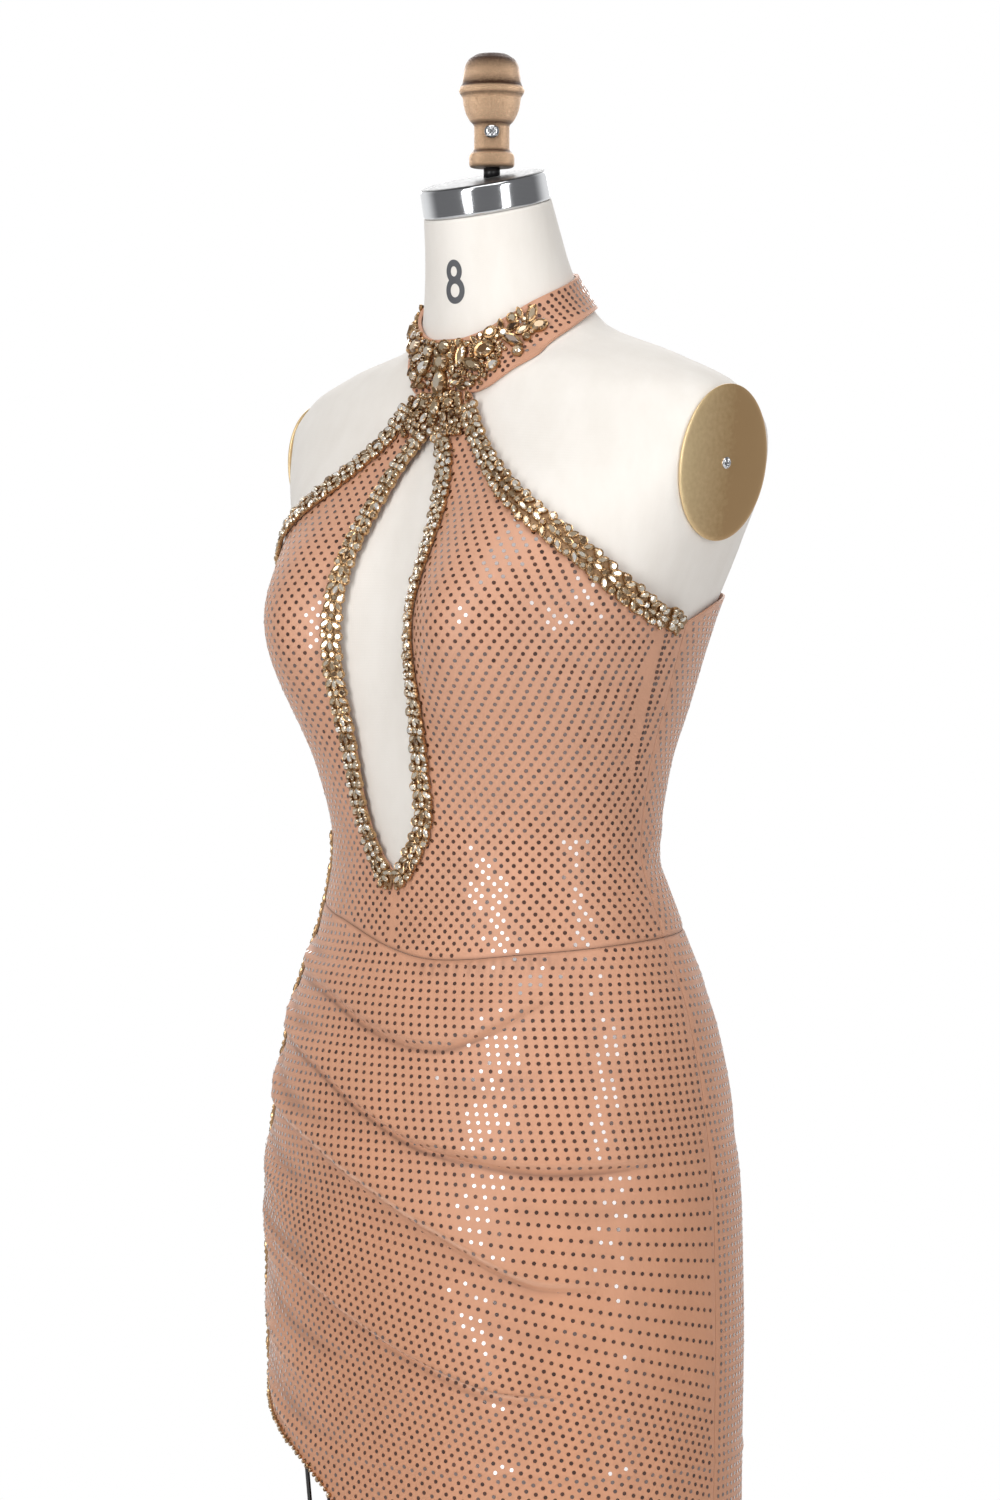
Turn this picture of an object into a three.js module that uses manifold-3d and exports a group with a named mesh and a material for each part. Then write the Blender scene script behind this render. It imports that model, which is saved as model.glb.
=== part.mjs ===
// A halter maxi dress of spangled stretch knit on its limbless dress form.
// Millimetres, +Z up. The origin is on the floor under the stand's centre.
// The dress faces -Y, and +X is the wearer's left.
import * as THREE from 'three';
import { mergeVertices } from 'three/addons/utils/BufferGeometryUtils.js';
import Module from 'manifold-3d';

const wasm = await Module();
wasm.setup();

// ---------------------------------------------------------------- driving dimensions

const WAIST_Z = 1080;          // waist line above the floor; heights below are measured from it
const HEM_HEIGHT = -1062;      // hem, 18 mm above the floor
const FORM_BOTTOM = -400;
const NECK_TOP = 424;

const EASE = 2.1;              // space between the form and the cloth
const CLOTH = 1.4;             // wall of the spangled knit
const SEAM_GAP = 0.3;
const COLLAR_EASE = 0.9;       // the collar is snug on the neck
const COLLAR_CLOTH = 2.2;      // two layers of knit and a stay tape

const TRIM_SEAT = 0.8;         // trim above the cloth that carries it
const COLLAR_SEAT = 1.1;       // the collar curves more tightly
const TRIM_BASE = 1.0;         // gold lace and settings between the stones
const STONE_RISE = 2.6;        // stones above the settings
const STONE_PITCH = 13;        // one flower of stones along a trim
const TRIM_WIDTH = 15;
const SCALLOP = 1.3;           // how far a flower stands past the trim's mean edge

const SIDE_SEAM = 98;          // degrees round from the centre front
const SLIT_LINE = -60;
const KEYHOLE_BOTTOM = -14;
const KEYHOLE_TOP = 272;
const UNDERARM = 150;
const STRAP_TOP = 304;

const BUST = { spread: 84, height: 148, projection: 44.5, width: 52, above: 70, below: 72 };
const ARM = { reach: 180, height: 252, lean: 0.14, centreY: 22, halfWidth: 42, halfHeight: 51 };

// Cross-sections of the figure and, below the hips, of the hanging skirt.
const SECTION_COLUMNS = ['height', 'halfWidth', 'front', 'back', 'centreY', 'tilt', 'squareness'];
const SECTIONS = table(SECTION_COLUMNS, [
  [-1062, 184, 148, 166, 4, 0, 2.1],
  [-800, 172, 134, 147, 4, 0, 2.15],
  [-560, 167, 124, 135, 4, 0, 2.2],
  [-400, 169, 124, 132, 4, 0, 2.2],
  [-320, 170, 127, 133, 4, 0, 2.2],
  [-240, 169, 130, 131, 4, 0, 2.2],
  [-170, 162, 126, 128, 4, 0, 2.15],
  [-110, 151, 115, 119, 3, 0, 2.1],
  [-50, 129, 97, 100, 2, 0, 2.1],
  [0, 115, 93, 89, 0, 0, 2.1],
  [50, 121, 98.5, 96, 0, 0, 2.1],
  [100, 134, 100.5, 112, 1, 0, 2.1],
  [150, 149, 98, 123, 2, 0, 2.15],
  [200, 170, 91, 130, 6, 0, 2.2],
  [235, 188, 83.2, 125, 11, 0, 2.2],
  [275, 202, 72, 112, 16, 0, 2],
  [302, 182, 64, 97, 15, 3, 1.95],
  [322, 137, 61, 78, 12, 8, 1.75],
  [338, 79, 57, 62, 8, 14, 1.8],
  [356, 58, 54, 55, 5, 19, 1.95],
  [372, 51.5, 50, 50, 1, 19, 2],
  [400, 46, 46, 46, -4, 16, 2],
  [424, 43, 43, 43, -9, 13.5, 2],
]);

// The keyhole's finished edge and the outer edge of its trim, as half widths from the centre front.
const KEYHOLE = table(['height', 'opening', 'trim'], [
  [-29, 0, 0.6],
  [-26, 0, 9],
  [-20, 0, 16],
  [-12, 0, 21.5],
  [-5, 6.5, 25],
  [3, 12, 29],
  [14, 17.5, 33.5],
  [29, 21.5, 37],
  [50, 23, 38.5],
  [79, 26, 41.5],
  [110, 29.5, 45],
  [150, 31, 46.5],
  [180, 30.5, 46],
  [205, 28, 43.5],
  [225, 23, 38],
  [250, 14, 29],
  [272, 1, 15],
]);

// The armhole edge, from the strap's top to the underarm.
const ARMHOLE = table(['height', 'angle'], [
  [150, 98],
  [155, 95],
  [164, 86],
  [177, 73],
  [190, 62],
  [205, 50],
  [219, 39],
  [232, 30],
  [243, 23.5],
  [257, 17.5],
  [277, 12.5],
  [304, 9.5],
]);

const BACK_NECKLINE = table(['angle', 'height'], [
  [98, 150],
  [115, 163],
  [140, 170],
  [180, 173],
  [220, 170],
  [245, 163],
  [262, 150],
]);

const COLLAR = table(['angle', 'lower', 'upper'], [
  [-180, 343, 365],
  [-110, 347, 368.8],
  [-90, 346.6, 368.5],
  [-69, 345, 367],
  [-50, 342, 362.8],
  [-37, 338, 359],
  [-24.5, 330.2, 355.2],
  [-18.5, 323.5, 354],
  [-14.5, 316.5, 353.3],
  [-11.5, 310, 353],
  [-9, 304, 353],
  [9, 303, 353],
  [13, 306.5, 353],
  [19, 313.5, 354],
  [30, 324, 356.5],
  [47, 332.5, 362],
  [69, 341.3, 367],
  [90, 345.3, 368.5],
  [110, 346.8, 368.8],
  [180, 343, 365],
]);

// The dipped seam that joins the bodice to the skirt.
const WAIST_SEAM = table(['angle', 'height'], [
  [-180, -50],
  [-120, -42],
  [-60, -40],
  [-26, -48],
  [16, -71],
  [45, -66],
  [98, -58],
  [180, -50],
]);

// Swags that fall from the trimmed line on the wearer's right across the front.
const SWAGS = [
  { depth: 4.5, fades: 60, route: [[-60, -75], [-22, -91], [17, -121], [58, -84], [98, -80]] },
  { depth: 6, fades: 86, route: [[-60, -112], [-19, -139], [18, -186], [50, -197], [98, -187]] },
  { depth: 6, fades: 66, route: [[-60, -158], [-18, -187], [19, -238], [49, -271], [98, -272]] },
  { depth: 5, fades: 56, route: [[-60, -228], [-13, -284], [13, -323], [36, -343], [98, -350]] },
].map((swag) => ({ ...swag, route: table(['angle', 'height'], swag.route) }));
const FLUTES = { count: 7, depth: 7, from: -480 };

const SLIT_TOP = -368;
const SLIT_FRONT = table(['height', 'angle'], [
  [-1062, 9],
  [-700, 5],
  [-520, 0],
  [-430, -10],
  [-404, -24],
  [-385, -42],
  [-368, -60],
]);
const SLIT_BACK = table(['height', 'angle'], [
  [-1062, -104],
  [-520, -100],
  [-440, -93],
  [-400, -78],
  [-368, -60],
]);

const POLE = { radius: 12.5, foot: 14 };
const BASE = { radius: 165, rim: 8, boss: 26, bossHeight: 40 };
const CAGE = { wire: 1.6, inset: 14, lean: 0.098, hoopZ: 430, ribs: 8, turn: 22, weld: 0.5 };
const CAP = { height: 20, bottom: 43.2, top: 42, tilt: 13.5 };
// The finial stands upright over the middle of the tilted cap.
const FINIAL = { foot: 1532, centreY: -5, neck: 11.8, bolt: 5.5 };
const SET_SCREW = { height: 1555, radius: 4.9, rise: 2.4, turn: 44 };

// ---------------------------------------------------------------- curves and the figure

function table(columns, rows) {
  return rows.map((row) => Object.fromEntries(columns.map((name, i) => [name, row[i]])));
}

const radians = THREE.MathUtils.degToRad;
const lerp = THREE.MathUtils.lerp;

function smooth(value, from, to) {
  const t = Math.min(Math.max((value - from) / (to - from), 0), 1);
  return t * t * (3 - 2 * t);
}

// A curve through a table's rows that never overshoots them (monotone cubic).
function curve(rows, input, output) {
  const x = rows.map((row) => row[input]);
  const y = rows.map((row) => row[output]);
  const last = x.length - 1;
  const slope = x.slice(1).map((value, i) => (y[i + 1] - y[i]) / (value - x[i]));
  const tangent = x.map((_, i) => {
    if (i === 0 || i === last) return slope[Math.min(i, last - 1)];
    const product = slope[i - 1] * slope[i];
    return product <= 0 ? 0 : (2 * product) / (slope[i - 1] + slope[i]);
  });
  return (at) => {
    const value = Math.min(Math.max(at, x[0]), x[last]);
    let i = 0;
    while (i < last - 1 && value > x[i + 1]) i += 1;
    const width = x[i + 1] - x[i];
    const t = (value - x[i]) / width;
    const a = y[i] * (1 + 2 * t) * (1 - t) ** 2 + y[i + 1] * t * t * (3 - 2 * t);
    return a + width * t * (1 - t) * (tangent[i] * (1 - t) - tangent[i + 1] * t);
  };
}

const section = Object.fromEntries(
  SECTION_COLUMNS.slice(1).map((name) => [name, curve(SECTIONS, 'height', name)]),
);

const power = (value, exponent) => Math.sign(value) * Math.abs(value) ** exponent;
const bell = (offset, width) => Math.exp(-(Math.abs(offset / width) ** 2.2));

// A point of the figure's skin, at an angle in degrees round from the centre front.
function figure(angle, height) {
  const turn = radians(angle);
  const front = Math.cos(turn) > 0;
  const round = 2 / section.squareness(height);
  const bareX = section.halfWidth(height) * power(Math.sin(turn), round);
  const depth = front ? section.front(height) : section.back(height);
  let reach = -depth * power(Math.cos(turn), round);
  if (front) {
    const rise = height - BUST.height;
    const level = Math.exp(-((rise / (rise > 0 ? BUST.above : BUST.below)) ** 2));
    const cups = bell(bareX - BUST.spread, BUST.width) + bell(bareX + BUST.spread, BUST.width);
    reach -= BUST.projection * level * cups;
  }
  const armPlane = height > UNDERARM ? ARM.reach + ARM.lean * (height - ARM.height) : Infinity;
  const x = Math.min(Math.max(bareX, -armPlane), armPlane);
  const tilt = radians(section.tilt(height));
  const y = section.centreY(height) + reach * Math.cos(tilt);
  return new THREE.Vector3(x, y, WAIST_Z + height + reach * Math.sin(tilt));
}

function directions(angle, height) {
  const across = figure(angle + 0.4, height).sub(figure(angle - 0.4, height)).divideScalar(0.8);
  const up = figure(angle, height + 0.8).sub(figure(angle, height - 0.8)).divideScalar(1.6);
  const out = across.clone().cross(up).normalize();
  return { across, up, out };
}

// The angle at which the front of a section has the given x.
function angleAt(x, height) {
  const share = Math.min(Math.abs(x) / section.halfWidth(height), 1);
  const angle = Math.asin(share ** (section.squareness(height) / 2));
  return Math.sign(x) * THREE.MathUtils.radToDeg(angle);
}

// ---------------------------------------------------------------- the cloth

const waistSeam = curve(WAIST_SEAM, 'angle', 'height');
const swagRoutes = SWAGS.map((swag) => curve(swag.route, 'angle', 'height'));
const wrap = (angle) => ((((angle + 180) % 360) + 360) % 360) - 180;

// The lines that the skirt's rows follow: the waist seam, the swags, and the slit's top.
function skirtLines(angle) {
  const turned = wrap(angle);
  const behind = (turned - SIDE_SEAM + 360) % 360;
  const share = behind / (SLIT_LINE - SIDE_SEAM + 360);
  const lines = swagRoutes.map((route) => (
    share <= 1 ? lerp(route(SIDE_SEAM), route(SLIT_LINE), share) : route(turned)
  ));
  return [waistSeam(turned), ...lines, SLIT_TOP];
}

function skirtHeight(step, angle) {
  const lines = skirtLines(angle);
  const i = Math.min(Math.floor(step), lines.length - 2);
  return lerp(lines[i], lines[i + 1], step - i);
}

function swagShape(distance) {
  if (distance < 0) return smooth(distance, -0.75, 0);
  return 1.2 * (1 - smooth(distance, 0, 0.2)) - 0.2 * (1 - smooth(distance, 0.2, 0.6));
}

// How far the cloth stands off the figure because of its folds.
function foldRise(angle, height) {
  const turned = wrap(angle);
  const flute = smooth(-height, -FLUTES.from, -HEM_HEIGHT) * FLUTES.depth;
  let rise = flute * (1 + Math.cos(radians(turned * FLUTES.count + 20)));
  const lines = skirtLines(turned);
  if (height >= lines[0] || height <= SLIT_TOP) return rise;
  let i = 0;
  while (height < lines[i + 1]) i += 1;
  const step = i + (lines[i] - height) / (lines[i] - lines[i + 1]);
  SWAGS.forEach((swag, k) => {
    const fade = 1 - smooth(turned, swag.fades - 30, swag.fades);
    const start = smooth(turned, SLIT_LINE + 4, SLIT_LINE + 22);
    rise += swag.depth * fade * start * swagShape(step - (k + 1));
  });
  return rise;
}

function skin(angle, height, lift) {
  const { out } = directions(angle, height);
  return figure(angle, height).addScaledVector(out, lift + foldRise(angle, height));
}

// ---------------------------------------------------------------- solids from rows of points

function geometryOf(points, triangles) {
  const positions = points.flatMap((point) => [point.x, point.y, point.z]);
  let volume = 0;
  triangles.forEach(([a, b, c]) => {
    volume += points[a].dot(points[b].clone().cross(points[c]));
  });
  const ordered = volume < 0 ? triangles.map(([a, b, c]) => [a, c, b]) : triangles;
  const geometry = new THREE.BufferGeometry();
  geometry.setAttribute('position', new THREE.Float32BufferAttribute(positions, 3));
  geometry.setIndex(ordered.flat());
  geometry.computeVertexNormals();
  return geometry;
}

// A wall of cloth. Its cells are blocks of rows, and points with the same key are shared.
function wall(blocks, inner, outer) {
  const index = new Map();
  const points = [];
  const place = ({ angle, height }) => {
    const key = `${angle.toFixed(4)},${height.toFixed(4)}`;
    if (!index.has(key)) {
      index.set(key, points.length / 2);
      points.push(skin(angle, height, inner), skin(angle, height, outer));
    }
    return index.get(key);
  };
  const faces = [];
  blocks.forEach((rows) => {
    for (let i = 0; i + 1 < rows.length; i += 1) {
      for (let j = 0; j + 1 < rows[i].length; j += 1) {
        const a = place(rows[i][j]);
        const b = place(rows[i][j + 1]);
        const c = place(rows[i + 1][j + 1]);
        const d = place(rows[i + 1][j]);
        faces.push([a, b, c], [a, c, d]);
      }
    }
  });
  const edges = new Map();
  faces.forEach((face) => face.forEach((from, i) => {
    const to = face[(i + 1) % 3];
    if (edges.has(`${to},${from}`)) edges.delete(`${to},${from}`);
    else edges.set(`${from},${to}`, [from, to]);
  }));
  const triangles = faces.flatMap(([a, b, c]) => [
    [2 * a + 1, 2 * b + 1, 2 * c + 1],
    [2 * a, 2 * c, 2 * b],
  ]);
  edges.forEach(([from, to]) => {
    triangles.push([2 * from, 2 * to, 2 * to + 1], [2 * from, 2 * to + 1, 2 * from + 1]);
  });
  return geometryOf(points, triangles);
}

// A ribbon of stones: rows of points across it, raised where a stone sits. Its underside follows
// the cloth at the given columns.
function ribbon(rows, base, rise, underColumns = [0, rows[0].length - 1]) {
  const points = [];
  const triangles = [];
  const add = (point) => points.push(point) - 1;
  const last = rows[0].length - 1;
  const underLast = underColumns.length - 1;
  const top = rows.map((row, i) => row.map((at, j) => {
    const stone = i % 2 === 1 && j % 2 === 1 && i < rows.length - 1 ? rise : 0;
    return add(skin(at.angle, at.height, base + TRIM_BASE + stone));
  }));
  const under = rows.map((row) => underColumns.map((j) => add(skin(row[j].angle, row[j].height, base))));
  const quad = (a, b, c, d) => triangles.push([a, b, c], [a, c, d]);
  for (let i = 0; i + 1 < rows.length; i += 1) {
    for (let j = 0; j < last; j += 1) quad(top[i][j], top[i][j + 1], top[i + 1][j + 1], top[i + 1][j]);
    for (let k = 0; k < underLast; k += 1) {
      quad(under[i + 1][k], under[i + 1][k + 1], under[i][k + 1], under[i][k]);
    }
    quad(top[i + 1][0], under[i + 1][0], under[i][0], top[i][0]);
    quad(top[i][last], under[i][underLast], under[i + 1][underLast], top[i + 1][last]);
  }
  // Each end is closed by triangles between its top and its underside.
  [[0, 1], [rows.length - 1, -1]].forEach(([i, way]) => {
    const close = (a, b, c) => triangles.push(way > 0 ? [a, c, b] : [a, b, c]);
    let k = 0;
    for (let j = 0; j < last; j += 1) {
      close(under[i][k], top[i][j], top[i][j + 1]);
      if (k < underLast && underColumns[k] + underColumns[k + 1] <= 2 * (j + 1)) {
        close(under[i][k], top[i][j + 1], under[i][k + 1]);
        k += 1;
      }
    }
  });
  return geometryOf(points, triangles);
}

function closedRings(rings) {
  const around = rings[0].length;
  const points = rings.flat();
  const triangles = [];
  for (let i = 0; i + 1 < rings.length; i += 1) {
    for (let j = 0; j < around; j += 1) {
      const a = i * around + j;
      const b = i * around + ((j + 1) % around);
      triangles.push([a, b, b + around], [a, b + around, a + around]);
    }
  }
  [[0, 1], [rings.length - 1, -1]].forEach(([i, way]) => {
    const centre = new THREE.Vector3();
    rings[i].forEach((point) => centre.addScaledVector(point, 1 / around));
    const middle = points.push(centre) - 1;
    for (let j = 0; j < around; j += 1) {
      const pair = [i * around + j, i * around + ((j + 1) % around)];
      triangles.push(way > 0 ? [middle, pair[1], pair[0]] : [middle, pair[0], pair[1]]);
    }
  });
  return geometryOf(points, triangles);
}

function lathe(profile, around) {
  const geometry = new THREE.LatheGeometry(profile.map(([r, z]) => new THREE.Vector2(r, z)), around);
  return geometry.rotateX(Math.PI / 2);
}

const row = (from, to, count, heightAt) => Array.from({ length: count + 1 }, (_, j) => {
  const angle = lerp(from, to, j / count);
  return { angle, height: heightAt(angle, j / count) };
});
const steps = (from, to, count) => Array.from({ length: count + 1 }, (_, i) => lerp(from, to, i / count));
const degreesPer = (angle, height) => 1 / directions(angle, height).across.length();

// ---------------------------------------------------------------- materials

function finish(color, roughness, metalness) {
  return new THREE.MeshStandardMaterial({ color, roughness, metalness, side: THREE.FrontSide });
}
const spangledKnit = () => finish(0xd5a78f, 0.45, 0.15);
const stonesInGold = () => finish(0xd9c7a4, 0.25, 0.6);
const canvas = () => finish(0xf1eee7, 0.8, 0);
const chrome = () => finish(0xc9ccd0, 0.12, 1);
const bronze = () => finish(0xb98b5e, 0.35, 0.9);
const brass = () => finish(0xb08a62, 0.4, 0.85);
const blackIron = () => finish(0x17171a, 0.45, 0.3);

const dress = new THREE.Group();
const stand = new THREE.Group();
const object = new THREE.Group();
object.add(stand, dress);

function addMesh(group, name, geometry, material) {
  const mesh = new THREE.Mesh(geometry, material);
  mesh.name = name;
  group.add(mesh);
  return mesh;
}

// ---------------------------------------------------------------- dress form

const FORM_ROWS = [
  -400, -396, -340, -270, -210, -155, -110, -70, -40, -18, 0, 28, 56, 80, 100, 120, 136, 150, 157, 164,
  177, 190, 205, 219, 232, 257, 280, 296, 307, 317, 327, 337, 346, 358, 370, 386, 404, 424,
];
const FORM_AROUND = 36;
addMesh(stand, 'form_torso', closedRings(FORM_ROWS.map((height) => {
  const inset = height === FORM_BOTTOM ? -4 : 0;
  return row(0, 360, FORM_AROUND, () => height).slice(0, -1).map((at) => {
    const point = figure(at.angle, Math.max(at.height, FORM_BOTTOM));
    return point.addScaledVector(directions(at.angle, at.height).out, inset);
  });
})), canvas());

function capPlane(y) {
  const neck = section.centreY(NECK_TOP);
  const tilt = radians(CAP.tilt);
  const rise = CAP.height + SEAM_GAP;
  const topY = neck - rise * Math.sin(tilt);
  return WAIST_Z + NECK_TOP + rise * Math.cos(tilt) + (y - topY) * Math.tan(tilt);
}

const cap = addMesh(stand, 'neck_cap', lathe([
  [0, 0], [CAP.bottom - 1, 0], [CAP.bottom, 1.5], [CAP.bottom - 0.4, CAP.height - 3],
  [CAP.top, CAP.height - 0.8], [CAP.top - 2, CAP.height], [0, CAP.height],
], 36), chrome());
cap.position.set(0, section.centreY(NECK_TOP), WAIST_Z + NECK_TOP);
cap.position.z += SEAM_GAP / Math.cos(radians(CAP.tilt));
cap.rotation.x = radians(CAP.tilt);

// The bolt runs from the sloping top of the cap to the finial's foot.
const boltProfile = [[0, 0], [FINIAL.bolt, 0], [FINIAL.bolt, 1], [0, 1]];
const boltGeometry = lathe(boltProfile, 16).translate(0, FINIAL.centreY, 0);
const boltPoints = boltGeometry.attributes.position;
for (let i = 0; i < boltPoints.count; i += 1) {
  const seat = capPlane(boltPoints.getY(i)) + SEAM_GAP;
  boltPoints.setZ(i, boltPoints.getZ(i) > 0.5 ? FINIAL.foot - SEAM_GAP : seat);
}
boltGeometry.computeVertexNormals();
addMesh(stand, 'finial_bolt', boltGeometry, blackIron());

const FINIAL_PROFILE = [
  [0, 0], [14, 0], [15.1, 1.5], [15.1, 8.5], [12.8, 10.4], [FINIAL.neck, 12], [FINIAL.neck, 28.4],
  [14.3, 30.4], [17.2, 35.5], [18.8, 41], [19.4, 46.5], [21.7, 49.8], [22, 52.2], [19.6, 55.5], [19.1, 60],
  [17.8, 68], [15.4, 72], [10, 75.4], [0, 76.4],
];
const finial = addMesh(stand, 'finial', lathe(FINIAL_PROFILE, 18), bronze());
finial.position.set(0, FINIAL.centreY, FINIAL.foot);

function screwHead(name, radius, rise) {
  const profile = [[0, 0], [radius, 0], [radius, rise * 0.5], [radius * 0.7, rise], [0, rise * 1.15]];
  return addMesh(stand, name, lathe(profile, 14), chrome());
}
const finialScrew = screwHead('finial_screw', SET_SCREW.radius, SET_SCREW.rise);
const screwTurn = radians(SET_SCREW.turn);
const screwAxis = new THREE.Vector3(Math.sin(screwTurn), -Math.cos(screwTurn), 0);
finialScrew.quaternion.setFromUnitVectors(new THREE.Vector3(0, 0, 1), screwAxis);
finialScrew.position.set(0, FINIAL.centreY, SET_SCREW.height);
finialScrew.position.addScaledVector(screwAxis, FINIAL.neck + SEAM_GAP);

[1, -1].forEach((side) => {
  const hand = side > 0 ? 'left' : 'right';
  const facing = new THREE.Vector3(side, 0, -ARM.lean).normalize();
  const turn = new THREE.Matrix4().makeBasis(
    new THREE.Vector3(0, side, 0),
    new THREE.Vector3(0, side, 0).cross(facing).multiplyScalar(-1),
    facing,
  );
  const place = (mesh, lift) => {
    mesh.quaternion.setFromRotationMatrix(turn);
    mesh.position.set(side * ARM.reach, ARM.centreY, WAIST_Z + ARM.height);
    mesh.position.addScaledVector(facing, lift);
  };
  const plate = lathe([[0, 0], [0.98, 0], [1, 0.8], [1, 1.8], [0.95, 2.6], [0.8, 2.9], [0, 3.1]], 26);
  plate.scale(ARM.halfWidth, ARM.halfHeight, 1);
  place(addMesh(stand, `arm_plate_${hand}`, plate, brass()), SEAM_GAP);
  place(screwHead(`arm_screw_${hand}`, 4, 2), 3.1 + 2 * SEAM_GAP);
});

const poleTop = WAIST_Z + FORM_BOTTOM - SEAM_GAP;
const pole = [[0, POLE.foot], [POLE.radius, POLE.foot], [POLE.radius, poleTop], [0, poleTop]];
addMesh(stand, 'pole', lathe(pole, 20), blackIron());
addMesh(stand, 'base', lathe([
  [0, 0], [BASE.radius - 2, 0], [BASE.radius, 2], [BASE.radius, BASE.rim - 3], [BASE.radius - 5, BASE.rim],
  [BASE.boss + 12, BASE.rim + 3], [BASE.boss, BASE.rim + 8], [BASE.boss - 4, BASE.bossHeight],
  [POLE.radius + SEAM_GAP, BASE.bossHeight], [POLE.radius + SEAM_GAP, POLE.foot - SEAM_GAP],
  [0, POLE.foot - SEAM_GAP],
], 28), blackIron());

// Ribs of black wire hang from the form's underside and are welded to a hoop.
function solidOf(geometry) {
  const bare = geometry.clone();
  bare.deleteAttribute('normal');
  bare.deleteAttribute('uv');
  const merged = mergeVertices(bare, 1e-4);
  return new wasm.Manifold(new wasm.Mesh({
    numProp: 3,
    vertProperties: new Float32Array(merged.attributes.position.array),
    triVerts: new Uint32Array(merged.index.array),
  }));
}

function wire(path, count) {
  const circle = new THREE.Path().absarc(0, 0, CAGE.wire, 0, 2 * Math.PI);
  const disc = new THREE.Shape(circle.getPoints(3).slice(0, -1));
  return new THREE.ExtrudeGeometry(disc, { steps: count, extrudePath: path, bevelEnabled: false });
}

const ribTop = WAIST_Z + FORM_BOTTOM - SEAM_GAP;
const ribPoint = (angle, z) => {
  const edge = figure(angle, FORM_BOTTOM);
  const inward = new THREE.Vector3(edge.x, edge.y, 0).normalize();
  return edge.setZ(z).addScaledVector(inward, -(CAGE.inset + (ribTop - z) * CAGE.lean));
};
const ribAngles = steps(0, 360, CAGE.ribs).slice(0, -1).map((angle) => angle + CAGE.turn);
// The hoop is a closed ring, so its sections are joined all the way round.
const HOOP_AROUND = 32;
const HOOP_SIDES = 6;
const hoopPoints = steps(0, 360, HOOP_AROUND).slice(0, -1).flatMap((angle) => {
  const centre = ribPoint(angle + CAGE.turn / 2, CAGE.hoopZ);
  const outward = new THREE.Vector3(centre.x, centre.y, 0).normalize();
  return steps(0, 360, HOOP_SIDES).slice(0, -1).map((side) => {
    const point = centre.clone().addScaledVector(outward, CAGE.wire * Math.cos(radians(side)));
    return point.setZ(centre.z + CAGE.wire * Math.sin(radians(side)));
  });
});
const hoopTriangles = hoopPoints.flatMap((_, i) => {
  const ring = Math.floor(i / HOOP_SIDES);
  const side = i % HOOP_SIDES;
  const next = ((ring + 1) % HOOP_AROUND) * HOOP_SIDES;
  const beside = (side + 1) % HOOP_SIDES;
  const [a, b, c, d] = [i, next + side, next + beside, ring * HOOP_SIDES + beside];
  return [[a, b, c], [a, c, d]];
});
let cage = solidOf(geometryOf(hoopPoints, hoopTriangles));
ribAngles.forEach((angle) => {
  const path = new THREE.LineCurve3(ribPoint(angle, ribTop), ribPoint(angle, CAGE.hoopZ - CAGE.weld));
  cage = cage.add(solidOf(wire(path, 1)));
});
const cageMesh = cage.getMesh();
const cageGeometry = new THREE.BufferGeometry();
cageGeometry.setAttribute('position', new THREE.Float32BufferAttribute(cageMesh.vertProperties, 3));
cageGeometry.setIndex(Array.from(cageMesh.triVerts));
cageGeometry.computeVertexNormals();
addMesh(stand, 'wire_cage', cageGeometry, blackIron());

// ---------------------------------------------------------------- bodice

const keyholeOpening = curve(KEYHOLE, 'height', 'opening');
const keyholeTrim = curve(KEYHOLE, 'height', 'trim');
const armholeAngle = curve(ARMHOLE, 'height', 'angle');
const armholeHeight = curve([...ARMHOLE].reverse(), 'angle', 'height');
const backNeckline = curve(BACK_NECKLINE, 'angle', 'height');
const collarLower = curve(COLLAR, 'angle', 'lower');
const collarUpper = curve(COLLAR, 'angle', 'upper');
const CLOTH_SET_BACK = 4;      // the trims overhang the cloth's edge by this much
const OUTSIDE = EASE + CLOTH;

const BODICE_LOW = [-60, -44, -29, KEYHOLE_BOTTOM];
const BODICE_HIGH = [
  KEYHOLE_BOTTOM, 0, 14, 28, 56, 80, 100, 120, 136, UNDERARM, 157, 164, 177, 190, 205, 219, 232, 245, 257,
  272, 288, STRAP_TOP,
];
const HALF_COLUMNS = 10;
const FRONT_CROWDING = 1.3;    // columns are closer together at the keyhole

// Rows near the waist seam bend to follow it, and the last row meets the collar.
function bodiceHeight(height, angle) {
  if (height === STRAP_TOP) return collarLower(angle) - SEAM_GAP;
  const share = 1 - smooth(height, BODICE_LOW[0], 0);
  return height + share * (waistSeam(wrap(angle)) + SEAM_GAP / 2 - BODICE_LOW[0]);
}

function bodiceRow(height, side) {
  const open = height > KEYHOLE_BOTTOM && height < KEYHOLE_TOP;
  const setBack = open ? keyholeOpening(height) + CLOTH_SET_BACK : SEAM_GAP / 2;
  const inner = height > KEYHOLE_BOTTOM ? angleAt(setBack, height) : 0;
  const edge = height <= UNDERARM ? SIDE_SEAM : armholeAngle(height);
  const outer = edge - degreesPer(edge, height) * (height <= UNDERARM ? SEAM_GAP / 2 : CLOTH_SET_BACK);
  return steps(0, 1, HALF_COLUMNS).map((share) => {
    const angle = side * lerp(inner, outer, share ** FRONT_CROWDING);
    return { angle, height: bodiceHeight(height, angle) };
  });
}

const frontBlocks = [1, -1].flatMap((side) => [BODICE_LOW, BODICE_HIGH].map((heights) => {
  const rows = heights.map((height) => bodiceRow(height, side));
  return side > 0 ? rows : rows.map((points) => [...points].reverse());
}));
addMesh(dress, 'bodice_front', wall(frontBlocks, EASE, OUTSIDE), spangledKnit());

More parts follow.
